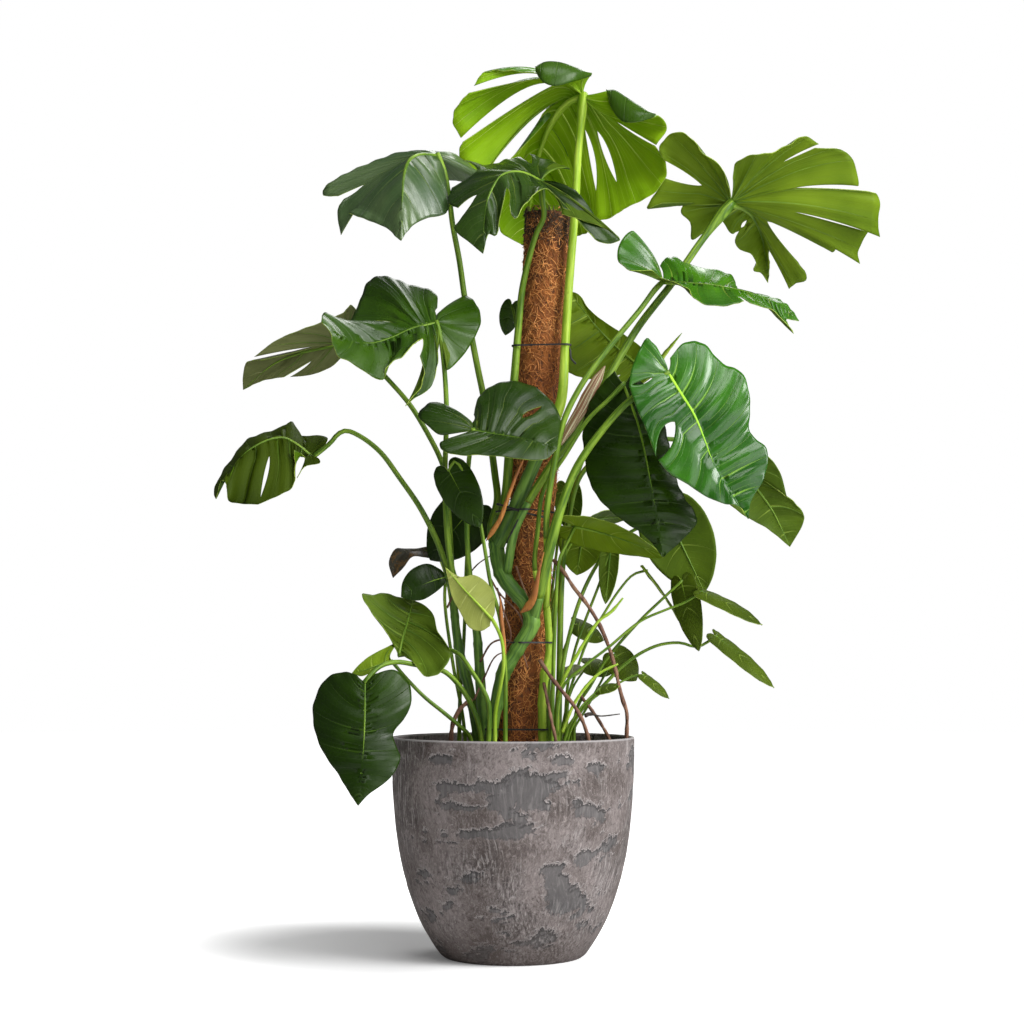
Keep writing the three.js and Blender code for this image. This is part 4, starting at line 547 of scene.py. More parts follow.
    "route": [[-26, -58, 262], [-26, -62, 367], [-20, -72, 399], [-14, -82, 437], [-16, -88, 470],
      [-24, -94, 492]],
  },
  "leaf_left_olive": {
    "joint": [-170, -60, 451], "faces": [0, 0.65, -0.75], "lift": 0.08,
    "rib": [[399, 655, -60], [403, 638, -44], [408, 620, -20], [413, 600, 10]],
    "left": [
      { "root": 1, "edge": [[405, 657, -68], [414, 663, -88], [425, 676, -98], [438, 674, -97],
        [449, 660, -86], [450, 650, -66], [438, 632, -46], [433, 614, -16], [424, 605, 0]] },
    ],
    "right": [
      { "root": 1, "edge": [[396, 648, -58], [384, 628, -52], [370, 610, -44], [362, 594, -34],
        [372, 595, -18], [384, 593, -4], [398, 597, 4]] },
    ],
    "radii": [[0, 4], [1, 3]],
    "route": [[-42, -66, 262], [-36, -66, 333], [-36, -68, 378], [-44, -72, 399], [-60, -70, 425],
      [-80, -60, 452], [-100, -50, 460], [-140, -48, 456]],
  },
  "leaf_lowest": {
    "joint": [-216, -130, 412], "faces": [-0.1, -0.95, 0.2], "lift": 0.1,
    "rib": [[365, 682, -130], [365, 706, -148], [363, 754, -176], [358, 806, -190]],
    "left": [
      { "root": 1, "edge": [[375, 674, -128], [394, 670, -124], [410, 686, -124], [409, 710, -134],
        [393, 735, -150], [400, 758, -164], [390, 778, -176], [368, 795, -186]] },
    ],
    "right": [
      { "root": 1, "edge": [[357, 675, -126], [345, 672, -118], [327, 678, -112], [314, 702, -122],
        [314, 726, -138], [322, 750, -156], [338, 774, -172], [350, 794, -184]] },
    ],
    "radii": [[0, 4], [1, 3.5]],
    "route": [[-48, -44, 262], [-48, -46, 327], [-56, -50, 362], [-66, -54, 384], [-82, -62, 408],
      [-104, -74, 428], [-145, -80, 437], [-172, -96, 441], [-196, -116, 434]],
  },
  "leaf_left_low": {
    "joint": [-180, -76, 442], "faces": [0, 0.8, 0.6], "lift": 0.08,
    "rib": [[392, 661, -76], [378, 665, -84], [365, 670, -90], [352, 673, -92]],
    "left": [
      { "root": 1, "edge": [[389, 656, -70], [395, 644, -50], [381, 650, -62], [367, 658, -76],
        [357, 667, -86]] },
    ],
    "right": [
      { "root": 1, "edge": [[386, 665, -80], [374, 671, -90], [361, 676, -96]] },
    ],
    "radii": [[0, 3.5], [1, 2.5]],
    "route": [[-62, -30, 262], [-64, -32, 327], [-82, -44, 347], [-104, -54, 366], [-132, -62, 389],
      [-158, -70, 416]],
  },
  "leaf_basal_edge": {
    "joint": [204, -4, 580], "tip": [263, -10, 486], "faces": [0.9, -0.1, 0.4], "width": 40, "lobe": 0.1,
    "bend": 15, "curl": -20, "wave": [1, 2],
    "radii": [[0, 2.5], [1, 1.8]],
    "route": [[82, -8, 262], [84, -8, 384], [97, -8, 429], [114, -8, 474], [134, -8, 507], [162, -6, 550],
      [184, -4, 574]],
  },
  "leaf_basal_yellow": {
    "joint": [255, -34, 563], "tip": [279, -48, 457], "faces": [-0.5, -0.8, 0.2],
    "width": 46, "lobe": 0.1,
    "bend": 15, "curl": -20, "wave": [1, 2],
    "radii": [[0, 3], [1, 2]],
    "route": [[92, 12, 262], [98, 12, 370], [119, 8, 406], [142, 4, 444], [194, -22, 505],
      [225, -30, 535]],
  },
  "leaf_basal_right": {
    "joint": [282, -62, 546], "tip": [372, -66, 496], "faces": [0.2, -0.5, 0.85],
    "width": 42, "lobe": 0.1,
    "bend": 15, "curl": -20, "wave": [1, 2],
    "radii": [[0, 2.5], [1, 1.8]],
    "route": [[66, -60, 262], [72, -62, 399], [108, -60, 436], [143, -58, 463], [191, -58, 502],
      [229, -60, 519], [257, -62, 530]],
  },
  "leaf_basal_far": {
    "joint": [310, 0, 480], "tip": [395, -20, 402], "faces": [0.5, -0.6, 0.6], "width": 42, "lobe": 0.1,
    "bend": 10, "curl": -20, "wave": [1, 2],
    "radii": [[0, 3.5], [1, 2]],
    "route": [[76, 2, 262], [80, 2, 330], [97, -4, 360], [119, -8, 386], [142, -8, 410], [165, -6, 433],
      [194, -4, 454], [224, -2, 467], [255, 0, 470], [281, 0, 464]],
  },
  "leaf_basal_small": {
    "joint": [196, -30, 421], "tip": [235, -34, 386], "faces": [0.3, -0.6, 0.7], "width": 24, "lobe": 0.1,
    "bend": 10, "curl": -20, "wave": [1, 2],
    "radii": [[0, 2], [1, 1.6]],
    "route": [[80, -38, 262], [84, -38, 331], [110, -36, 376], [139, -34, 399], [161, -32, 410],
      [182, -30, 420]],
  },
  "leaf_basal_mid": {
    "joint": [156, 16, 452], "tip": [188, 6, 412], "faces": [-0.2, -0.7, 0.6], "width": 50, "lobe": 0.2,
    "bend": 10, "curl": -20, "wave": [1, 2],
    "radii": [[0, 2], [1, 1.8]],
    "route": [[86, 28, 262], [90, 26, 329], [114, 24, 372], [140, 20, 420]],
  },
  "leaf_basal_back": {
    "joint": [98, 34, 498], "tip": [141, 46, 474], "faces": [0, -0.6, 0.75], "width": 48, "lobe": 0.2,
    "bend": 10, "curl": -20, "wave": [1, 2],
    "radii": [[0, 2], [1, 1.8]],
    "route": [[62, 16, 262], [64, 16, 330], [68, 22, 400], [80, 30, 464]],
  },
  "leaf_basal_left": {
    "joint": [80, -25, 427], "tip": [107, -27, 431], "faces": [0, -0.6, 0.75], "width": 30, "lobe": 0.2,
    "bend": 10, "curl": -20, "wave": [1, 2],
    "radii": [[0, 2], [1, 1.6]],
    "route": [[62, -26, 262], [64, -28, 331], [70, -30, 390]],
  },
  "leaf_basal_behind": {
    "joint": [116, 46, 436], "tip": [158, 60, 428], "faces": [0, -0.7, 0.7], "width": 42, "lobe": 0.25,
    "bend": 10, "curl": -20, "wave": [1, 2],
    "radii": [[0, 2], [1, 1.6]],
    "route": [[72, 36, 262], [76, 38, 340], [92, 42, 400]],
  },
  "leaf_basal_low": {
    "joint": [128, -62, 400], "tip": [158, -72, 405], "faces": [0, -0.6, 0.75], "width": 24, "lobe": 0.15,
    "bend": 10, "curl": -20, "wave": [1, 2],
    "radii": [[0, 2], [1, 1.6]],
    "route": [[74, -66, 262], [78, -66, 330], [100, -64, 372]],
  },
  "leaf_behind_small": {
    "joint": [-2, 58, 1000], "tip": [-12, 70, 955], "faces": [0, -0.8, 0.5], "width": 34, "lobe": 0.2,
    "bend": 20, "curl": -20, "wave": [1, 2],
    "radii": [[0, 3], [1, 2]],
    "route": [[-14, 48, 262], [-6, 48, 500], [4, 50, 750], [8, 54, 930], [2, 56, 985]],
  },
}

# Roots down to the soil: from the foot up
ROOTS = {
  "root_right_long": {
    "route": [[168, -12, 260], [170, -14, 300], [172, -20, 339], [171, -32, 366], [165, -38, 384],
      [159, -42, 406], [154, -44, 429], [148, -44, 451], [140, -44, 474], [128, -42, 501],
      [110, -38, 530], [92, -34, 553], [78, -30, 575], [62, -20, 596]],
    "radius": 3,
  },
  "root_right_front": {
    "route": [[118, -62, 262], [114, -68, 317], [104, -76, 352], [90, -82, 377], [72, -82, 399],
      [54, -74, 422], [40, -66, 444]],
    "radius": 3,
  },
  "root_centre": {
    "route": [[66, -80, 262], [64, -80, 320], [58, -76, 350], [52, -66, 380], [46, -54, 410]],
    "radius": 2.5,
  },
  "root_right_low": {
    "route": [[154, -20, 262], [148, -20, 318], [134, -18, 346], [118, -16, 370], [100, -16, 392]],
    "radius": 2.5,
  },
  "root_left": {
    "route": [[-94, -20, 262], [-94, -20, 316], [-90, -18, 350], [-78, -16, 372], [-62, -14, 384]],
    "radius": 3.5,
  },
}

# Dry sheaths, in picture points and depth: width across at shares of the way,
# thickness, and how far they wrap back
STRAPS = {
  "sheath_left": {
    "route": [[486, 541, -54], [494, 529, -63], [500, 519, -68], [506, 503, -73], [511, 489, -75],
      [518, 471, -74], [527, 452, -71]],
    "widths": [[0, 1], [0.1, 8], [0.5, 6], [0.8, 4.5], [1, 1]],
    "thick": 0.8, "hug": 0.3, "faces": [-0.2, -1, 0],
  },
  "sheath_right": {
    "route": [[520, 613, -64], [528, 606, -72], [533, 598, -80], [536, 585, -88], [539, 570, -96],
      [544, 552, -104]],
    "widths": [[0, 2], [0.15, 13], [0.45, 9], [0.8, 4], [1, 1]],
    "thick": 0.9, "hug": 0.3, "faces": [-0.4, -1, 0],
  },
  "sheath_low": {
    "route": [[500, 596, -76], [501, 612, -75], [503, 632, -72], [506, 655, -68]],
    "widths": [[0, 1], [0.3, 6], [0.8, 5], [1, 1]], "thick": 0.7, "hug": 0.3, "faces": [0, -1, 0],
  },
  "sheath_striped": {
    "route": [[561, 445, -76], [570, 428, -70], [582, 408, -60], [593, 387, -48], [605, 366, -38]],
    "widths": [[0, 3], [0.2, 15], [0.6, 20], [0.85, 15], [1, 2]],
    "thick": 1, "hug": 0.35, "faces": [0.1, -1, 0.1],
  },
}

# Cut stubs, young spike, twig, rootlets and tie ends: a route of picture points and depth, and radii
ROOTLET_RADII = [[0, 1.6], [0.5, 1.3], [1, 0.8]]
TIE_RADII = [[0, 1.8], [1, 1.5]]
STUBS = {
  "stub_upper": {
    "route": [[557, 733, -52], [560, 690, -50], [580, 650, -47], [598, 622, -44], [612, 611, -42],
      [623, 598, -40]],
    "radii": [[0, 3], [0.6, 2.5], [0.9, 2.4], [1, 1.4]],
  },
  "stub_lower": {
    "route": [[562, 733, -66], [572, 708, -64], [585, 688, -62], [600, 673, -60], [618, 664, -58]],
    "radii": [[0, 2.6], [0.7, 2.4], [1, 1.6]],
  },
  "young_spike": {
    "route": [[652, 378, 58], [662, 358, 48], [672, 345, 42], [682, 333, 38]],
    "radii": [[0, 2.2], [0.4, 4], [0.8, 2], [1, 0.5]],
  },
}
TWIG = {
  "route": [[585, 716, -22], [589, 714, -20], [600, 716, -19], [620, 714, -19]],
  "radii": [[0, 3], [0.15, 3.4], [0.25, 1.3], [1, 0.8]],
}
ROOTLETS = {
  "rootlet_1": [[490, 578, -32], [500, 594, -46], [512, 606, -54], [520, 616, -58], [524, 634, -50],
    [516, 655, -46]],
  "rootlet_2": [[497, 588, -40], [504, 612, -48], [511, 636, -50], [503, 655, -44]],
  "rootlet_3": [[480, 662, -20], [492, 643, -34], [506, 640, -46], [520, 648, -52], [528, 668, -50]],
  "rootlet_4": [[474, 700, -26], [485, 676, -34], [496, 656, -42], [512, 650, -48]],
  "rootlet_5": [[516, 566, -46], [522, 583, -50], [528, 600, -52], [530, 612, -56]],
  "rootlet_6": [[447, 608, 2], [455, 592, 4], [466, 578, 2], [478, 564, -12], [490, 556, -26]],
}
TIE_ENDS = {
  "tie_end_middle": [[516, 509, -76], [521, 513, -80], [517, 522, -80], [512, 532, -76], [507, 543, -66]],
  "tie_knot_middle": [[497, 504, -58], [508, 507, -72], [520, 511, -78], [534, 515, -74],
    [548, 518, -62]],
  "tie_end_top": [[566, 343, -38], [570, 350, -42], [571, 358, -42], [576, 364, -38]],
}

# Folded parts of the top leaf, in picture points and depth, with how far they bow to the front in mm
FLAPS = {
  "flap_crown": {
    "upper": [[535, 67, -28], [545, 62, -30], [558, 62, -28], [575, 67, -20], [592, 74, 8]],
    "lower": [[536, 72, -32], [543, 82, -42], [554, 86, -42], [575, 81, -28], [591, 76, 4]],
    "bow": 5, "look": "deep",
  },
  "flap_right": {
    "upper": [[606, 90, 20], [614, 90, 12], [626, 97, -6], [640, 106, -20], [656, 115, -26]],
    "lower": [[607, 94, 18], [612, 109, -4], [624, 122, -28], [638, 122, -36], [654, 117, -28]],
    "bow": 5, "look": "deep",
  },
}

# Studio: the floor, the middle of the pot's shadow on it in metres, and the lamps,
# each with its place, size, power in watts and what it points at
FLOOR_RADIUS = 9000
SHADOW_MIDDLE = (-0.2, 0.08, 0)
LAMPS = {
  "key": [(4200, -2500, 2900), (2500, 2500), 265, (100, 0, 650)],
  "top": [(700, -1900, 3900), (2600, 1800), 70, (0, 0, 800)],
  "front": [(2200, -4000, 1500), (2400, 2400), 35, (0, 0, 700)],
  "back": [(500, 1600, 2500), (1500, 900), 20, (50, 0, 1000)],
}


def unit(v):
    """Each vector divided by its own length."""
    return v / np.maximum(np.linalg.norm(v, axis=-1, keepdims=True), 1e-9)


def turns(count):
    """Angles once round, in even steps."""
    return np.linspace(0, 2 * math.pi, count, endpoint=False)


def round_axis(radius, turn, height):
    """Places at a radius, an angle and a height round the upright axis."""
    return np.stack(np.broadcast_arrays(radius * np.cos(turn), radius * np.sin(turn), height), -1)


def seen(points):
    """The places of points picked on the photograph: each pixel's ray is followed
    from the camera to its depth."""
    points = np.asarray(points, float)
    side = (points[..., 0] - PHOTO_MIDDLE[0]) / PHOTO_FOCUS
    rise = (PHOTO_MIDDLE[1] - points[..., 1]) / PHOTO_FOCUS
    level, steep = math.cos(CAMERA_PITCH), math.sin(CAMERA_PITCH)
    reach = (points[..., 2] - CAMERA_PLACE[1]) / (level - rise * steep)
    height = CAMERA_PLACE[2] + reach * (rise * level + steep)
    return np.stack([side * reach, points[..., 2], height], -1)


def chord_weight(chord):
    """The root of a chord's length, kept above 0."""
    return np.maximum(np.linalg.norm(chord, axis=-1, keepdims=True), 1e-4) ** 0.5


def spline(points, t):
    """A smooth curve through points, t from 0 to 1 in even shares of its stretches: on each stretch a
    cubic whose end slopes come from the neighbouring chords, each weighed by the root of its length."""
    points = np.asarray(points, float)
    rail = np.vstack([2 * points[0] - points[1], points, 2 * points[-1] - points[-2]])
    place = np.clip(t, 0, 1) * (len(points) - 1)
    i = np.minimum(place.astype(int), len(points) - 2)
    w = (place - i)[..., None]
    p0, p1, p2, p3 = rail[i], rail[i + 1], rail[i + 2], rail[i + 3]
    d0, d1, d2 = chord_weight(p1 - p0), chord_weight(p2 - p1), chord_weight(p3 - p2)
    start = ((p1 - p0) / d0 - (p2 - p0) / (d0 + d1) + (p2 - p1) / d1) * d1
    end = ((p2 - p1) / d1 - (p3 - p1) / (d1 + d2) + (p3 - p2) / d2) * d1
    bend = 3 * (p2 - p1) - 2 * start - end
    return p1 + start * w + bend * w**2 + (2 * (p1 - p2) + start + end) * w**3


def along(points, shares):
    """Places and directions at shares of a curve's length, its length summed over a
    fine walk along it."""
    walk = np.linspace(0, 1, CURVE_STEPS + 1)
    steps = np.linalg.norm(np.diff(spline(points, walk), axis=0), axis=1)
    length = np.concatenate([[0], np.cumsum(steps)])
    t = np.interp(shares, length / length[-1], walk)
    ahead = spline(points, np.minimum(t + 1e-3, 1)) - spline(points, np.maximum(t - 1e-3, 0))
    return spline(points, t), unit(ahead)


def curve_length(points):
    """A curve's length in mm, from the chords of a fine walk."""
    walk = spline(points, np.linspace(0, 1, CURVE_STEPS + 1))
    return float(np.linalg.norm(np.diff(walk, axis=0), axis=1).sum())


class Shape:
    """Vertices, faces, corner coordinates and material numbers, gathered from grids of points."""

    def __init__(self):
        self.points, self.faces, self.veins, self.spread, self.finish = [], [], [], [], []
        self.count = 0

    def grid(self, points, flip=False, around=False, veins=None, spread=None, finish=0):
        """Faces between neighbouring points of an (m, n, 3) grid; around joins the
        last column to the first."""
        m, n = points.shape[:2]
        index = self.count + np.arange(m * n).reshape(m, n)
        step = np.roll(index, -1, axis=1) if around else index[:, 1:]
        base = index if around else index[:, :-1]
        quads = np.stack([base[:-1], step[:-1], step[1:], base[1:]], -1).reshape(-1, 4)
        quads = quads[:, ::-1] if flip else quads
        zero = np.zeros((m, n))
        veins = np.stack([zero, zero], -1) if veins is None else veins
        spread = zero if spread is None else spread
        self.points.append(points.reshape(-1, 3))
        self.faces.append(quads)
        self.veins.append(veins.reshape(-1, 2))
        self.spread.append(spread.reshape(-1))
        self.finish.append(np.full(len(quads), finish))
        self.count += m * n

    def mesh(self, name):
        """The gathered grids as one mesh in metres with two corner maps, its doubles merged."""
        points = np.concatenate(self.points) * MM
        faces = np.concatenate(self.faces)
        mesh = bpy.data.meshes.new(name)
        mesh.vertices.add(len(points))
        mesh.vertices.foreach_set("co", points.ravel())
        mesh.loops.add(faces.size)
        mesh.loops.foreach_set("vertex_index", faces.ravel())
        mesh.polygons.add(len(faces))
        mesh.polygons.foreach_set("loop_start", np.arange(len(faces)) * 4)
        mesh.polygons.foreach_set("material_index", np.concatenate(self.finish))
        mesh.polygons.foreach_set("use_smooth", np.ones(len(faces), bool))
        corners = faces.ravel()
        mesh.uv_layers.new(name="veins").data.foreach_set("uv", np.concatenate(self.veins)[corners].ravel())
        spread = np.concatenate(self.spread)[corners]
        mesh.uv_layers.new(name="spread").data.foreach_set("uv", np.stack([spread, spread], -1).ravel())
        mesh.update(calc_edges=True)
        mesh.validate()
        work = bmesh.new()
        work.from_mesh(mesh)
        bmesh.ops.remove_doubles(work, verts=work.verts, dist=MERGE_DISTANCE * MM)
        bmesh.ops.dissolve_degenerate(work, edges=work.edges, dist=MERGE_DISTANCE * MM / 4)
        work.to_mesh(mesh)
        work.free()
        return mesh


def piece(name, mesh, finishes, slot, *replaced):
    """A mesh as a piece of the plant: it gets the finishes that it hasn't yet, rides
    on the one body and stands for CAD nodes."""
    thing = bpy.data.objects.new(name, mesh)
    bpy.context.scene.collection.objects.link(thing)
    for finish in finishes[len(mesh.materials):]:
        mesh.materials.append(finish)
    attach(thing, "root")
    if replaced:
        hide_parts(*replaced)


def closed_ends(rings, places):
    """Rings with one more at each end, of no size, at the first and the last of their middles."""
    ends = [np.repeat(places[k][None, None], rings.shape[1], axis=1) for k in (0, -1)]
    return np.concatenate([ends[0], rings, ends[1]])


def tube(shape, places, ahead, radii, sides, finish=0, bumps=None):
    """A round stem: at each place a ring across the way ahead, closed at both ends
    by a ring of no size. Its vein map holds the distance off its middle plane and
    along it, in metres. bumps are shares added to the radii."""
    lead = np.eye(3)[np.argmin(np.abs(ahead).max(axis=0))]
    out = unit(np.cross(ahead, lead))
    across = np.cross(ahead, out)
    turn = turns(sides)
    spokes = out[:, None] * np.cos(turn)[None, :, None] + across[:, None] * np.sin(turn)[None, :, None]
    radii = np.asarray(radii, float)[:, None] * np.ones(sides)
    radii = radii if bumps is None else radii * (1 + bumps)
    rings = closed_ends(places[:, None] + spokes * radii[..., None], places)
    reach = np.concatenate([[0], np.cumsum(np.linalg.norm(np.diff(places, axis=0), axis=1))])
    reach = np.concatenate([[0], reach, reach[-1:]])[:, None] * np.ones(sides)
    wide = np.concatenate([radii[:1], radii, radii[-1:]]) * np.cos(turn + MAP_TURN)
    shape.grid(rings, around=True, veins=np.stack([wide, reach], -1) * MM, finish=finish)


def tapered(pairs, shares):
    """Thickness read off [share, radius] pairs on straight lines."""
    table = np.array(pairs, float)
    return np.interp(shares, table[:, 0], table[:, 1])


def petiole(shape, leaf):
    """A petiole along its route to the joint: a tube with its thickness from the
    table, swollen by a narrow bell just before the joint."""
    start = leaf.get("clasp", 0)
    route = np.array([*leaf["route"], leaf["joint"]], float)
    onward = unit(route[-1] - route[-2])
    route = np.vstack([route[:-1], route[-1] + onward * 2])
    count = max(8, round(curve_length(route) / PETIOLE_STEP))
    shares = np.linspace(start, 1, count)
    places, ahead = along(route, shares)
    swelling = 0.12 * np.exp(-(((shares - 0.97) / 0.03) ** 2))
    tube(shape, places, ahead, tapered(leaf["radii"], shares) * (1 + swelling), PETIOLE_SIDES, STEM)


def finger_grid(leaf, fingers, i):
    """One finger of a drawn half blade. A vein runs from the midrib to the margin on a
    parabola whose middle point lies 0.6 of the way across and 0.25 of the way along,
    lifted to the upper side. Beside a cut it moves off by half the gap at the mouth
    and by the cut's bulge, a half sine of the way from the cut's start to its end."""
    rib = seen(leaf["rib"])
    before = fingers[i - 1] if i else None
    after = fingers[i + 1] if i + 1 < len(fingers) else None
    finger = fingers[i]
    edge = seen(finger["edge"])
    edge = edge if after else np.vstack([edge, rib[-1]])
    first, last = edge[0], edge[-1]
    gap_before = seen(before["edge"][-1]) - first if before else np.zeros(3)
    gap_after = seen(after["edge"][0]) - last if after else np.zeros(3)
    roots = (before["root"] if before else 0, finger["root"])
    lifts = ((before or finger).get("lift", leaf["lift"]), finger.get("lift", leaf["lift"]))
    length = float(np.linalg.norm(np.diff(edge, axis=0), axis=1).sum())
    t = np.linspace(0, 1, max(4, round(length / COLUMN_STEP)) + 1)
    if roots[1] > roots[0]:
        stops = (np.arange(RIB_STOPS + 1) / RIB_STOPS - roots[0]) / (roots[1] - roots[0])
        t = np.union1d(t, stops[(stops > 0) & (stops < 1)])
    share = np.round((roots[0] + (roots[1] - roots[0]) * t) * RIB_STOPS) / RIB_STOPS
    root, forward = along(rib, share)
    near, far = ((1 - t) ** 2)[:, None], (t**2)[:, None]
    closed = spline(edge, t) + gap_before * near / 2 + gap_after * far / 2
    vein = closed - root
    up = np.array(leaf["faces"], float) - forward * (forward @ np.array(leaf["faces"], float))[:, None]
    lift = (lifts[0] + (lifts[1] - lifts[0]) * t)[:, None]
    middle = root + 0.6 * vein - 0.35 * (vein * forward).sum(1, keepdims=True) * forward
    middle += lift * np.linalg.norm(vein, axis=1, keepdims=True) * unit(up)
    s = np.linspace(0, 1, BLADE_ROWS + 1)[None, :, None]
    points = root[:, None] * (1 - s) ** 2 + middle[:, None] * 2 * s * (1 - s) + closed[:, None] * s**2
    cuts = (before and before["cut"], gap_before, near, 1), (finger.get("cut"), gap_after, far, -1)
    for cut, gap, reach, way in cuts:
        if cut:
            start, end, width = cut
            opened = np.clip((s - start) / (end - start), 0, 1)
            mouth = opened**CUT_ROUNDING if end >= 1 else 0 * s
            bulge = np.sin(math.pi * opened) ** CUT_ROUNDING
            points = points - gap * reach[:, None] / 2 * mouth
            points = points + way * width * unit(last - first) * reach[:, None] * bulge
    laterals = max(1, round(length / VEIN_SPACING))
    veins = np.stack(np.broadcast_arrays(t[:, None] * laterals, s[..., 0]), -1)
    return points, veins, vein_spacing(points, veins), laterals


def vein_spacing(points, veins):
    """How far apart in mm the lateral veins lie at each point: the step across the
    blade for one more vein in the vein map, less its part along the vein."""
    step = np.gradient(points, axis=0) / np.maximum(np.gradient(veins[..., 0], axis=0), 1e-3)[..., None]
    return np.linalg.norm(np.cross(step, unit(np.gradient(points, axis=1))), axis=-1)


def relief(points, veins, hand, size):
    """Shape between the veins: the blade swells by a cosine between two veins and
    sinks along each, and its margin waves a little, both by a share size. They fade
    to nothing at the finger's sides, where it joins the next."""
    down, out = np.gradient(points, axis=0), np.gradient(points, axis=1)
    normal = unit(np.cross(out, down)) * hand
    t = np.linspace(0, 1, len(points))[:, None]
    s = veins[..., 1]
    window = np.minimum(1, 6 * t * (1 - t)) * np.minimum(1, 4 * s)
    swell = -QUILT_HEIGHT * np.cos(2 * math.pi * (veins[..., 0] - 0.5)) * (1 - s**3)
    wave = WAVE_HEIGHT * np.sin(2 * math.pi * WAVES_A_VEIN * veins[..., 0] + hand) * s**3
    return points + normal * (size * window * (swell + wave))[..., None], normal


def drawn_blade(shape, ribs, leaf):
    """A split blade: both halves' fingers, and the raised veins under them."""
    size = min(1, curve_length(seen(leaf["rib"])) / FULL_LEAF)
    for hand, fingers in ((1, leaf["right"]), (-1, leaf["left"])):
        for i in range(len(fingers)):
            points, veins, spread, laterals = finger_grid(leaf, fingers, i)
            points, normal = relief(points, veins, hand, size)
            shape.grid(points, flip=hand < 0, veins=veins, spread=spread)
            for k in range(laterals):
                column = int(np.argmin(np.abs(veins[:, 0, 0] - k - 0.5)))
                line = points[column, :-2] - normal[column, :-2] * 0.5
                if np.linalg.norm(line[-1] - line[0]) > SHORTEST_VEIN:
                    lateral_vein(ribs, line)
    rib = seen(leaf["rib"])
    midrib(ribs, rib, -unit(np.array(leaf["faces"], float)), leaf["radii"][-1][1])


def lateral_vein(ribs, line):
    """A raised vein under the blade, from 1.1 mm at the midrib to 0.3 mm near the margin."""
    ahead = unit(np.gradient(line, axis=0))
    shares = np.linspace(0, 1, len(line))
    tube(ribs, line, ahead, 1.1 - 0.8 * shares, LATERAL_SIDES, RIB)


def midrib(ribs, rib, under, radius):
    """The midrib: a tapered round rib sunk in the blade, from three quarters of the
    petiole's thickness to 0.5 mm just before the tip."""
    shares = np.linspace(0, 0.985, MIDRIB_STEPS)
    places, ahead = along(rib, shares)
    radii = radius * 0.75 * (1 - shares) ** 1.1 + 0.5
    tube(ribs, places + under * (radii[:, None] * 0.55), ahead, radii, MIDRIB_SIDES, RIB)


def plain_blade(shape, ribs, leaf):
    """A whole blade. The outline is a smooth curve of shares of the half width and
    the length; a vein leaves the midrib sideways and turns to the tip. The midrib is
    an arc from joint to tip, and each half is an arc across."""
    outline = np.array([[a, b * leaf["lobe"] if b < 0 else b, 0] for a, b in OUTLINE], float)
    q = np.linspace(0, 1, PLAIN_COLUMNS)
    s = np.linspace(0, 1, PLAIN_ROWS)[None, :]
    margin = spline(outline, q)
    root = (np.maximum(0, (q - FAN_END) / (1 - FAN_END)) ** 1.3)[:, None]
    bend, end = 2 * s * (1 - s), s**2
    a = bend * 0.6 * margin[:, :1] + end * margin[:, :1]
    b = (1 - s) ** 2 * root + bend * (root + (margin[:, 1:2] - root) * 0.25) + end * margin[:, 1:2]
    joint, tip = np.array(leaf["joint"], float), np.array(leaf["tip"], float)
    turn = math.radians(leaf["bend"])
    chord = np.linalg.norm(tip - joint)
    arc = chord * turn / 2 / math.sin(turn / 2)
    ahead = (tip - joint) / chord
    up = np.array(leaf["faces"], float)
    up = unit(up - ahead * (up @ ahead))
    side = np.cross(ahead, up)
    half, curl = leaf["width"] / 2, math.radians(leaf["curl"])

    def arched(share):
        """Places on the arc at shares of its length, and its slope there."""
        slope = (turn * (0.5 - share))[..., None]
        on = arc * (math.sin(turn / 2) - np.sin(slope)) / turn
        rise = arc * (np.cos(slope) - math.cos(turn / 2)) / turn
        return joint + ahead * on + up * rise, slope

    spine, slope = arched(b)
    over = up * np.cos(slope) - ahead * np.sin(slope)
    for hand in (1, -1):
        wave = leaf["wave"][0] * s**2 * np.sin(2 * math.pi * leaf["wave"][1] * q[:, None] + hand)
        high = (half * (1 - np.cos(curl * a)) / curl + wave)[..., None]
        points = spine + side * (hand * half * np.sin(curl * a) / curl)[..., None] + over * high
        veins = np.stack(np.broadcast_arrays(q[:, None] * PLAIN_VEINS, s), -1)
        points, _ = relief(points, veins, hand, min(1, chord / FULL_LEAF))
        shape.grid(points, flip=hand < 0, veins=veins, spread=vein_spacing(points, veins))
    midrib(ribs, arched(np.linspace(0, 1, PLAIN_ROWS))[0], -up, leaf["radii"][-1][1])


def thickened(mesh, finishes):
    """A blade's sheet given its thickness, with one finish above, another below and
    a third on its edge."""
    blade = bpy.data.objects.new("blade", mesh)
    bpy.context.scene.collection.objects.link(blade)
    shell = blade.modifiers.new("thickness", "SOLIDIFY")
    shell.thickness = BLADE_THICKNESS * MM
    shell.offset = 0
    shell.material_offset = BELOW
    shell.material_offset_rim = EDGE
    for finish in finishes:
        mesh.materials.append(finish)
    bpy.context.view_layer.update()
    thick = bpy.data.meshes.new_from_object(blade.evaluated_get(bpy.context.evaluated_depsgraph_get()))
    bpy.data.objects.remove(blade)
    return thick


def make_leaf(name, leaf):
    """A leaf as one piece: its blade with a thickness, its raised veins and its petiole."""
    sheet, stems = Shape(), Shape()
    (drawn_blade if "rib" in leaf else plain_blade)(sheet, stems, leaf)
    petiole(stems, leaf)
    finishes = LEAF_LOOKS[name]
    work = bmesh.new()
    work.from_mesh(thickened(sheet.mesh("blade"), finishes))
    work.from_mesh(stems.mesh("stems"))
    whole = bpy.data.meshes.new(name)
    work.to_mesh(whole)
    work.free()
    piece("fine_" + name, whole, finishes, "leaf", name)


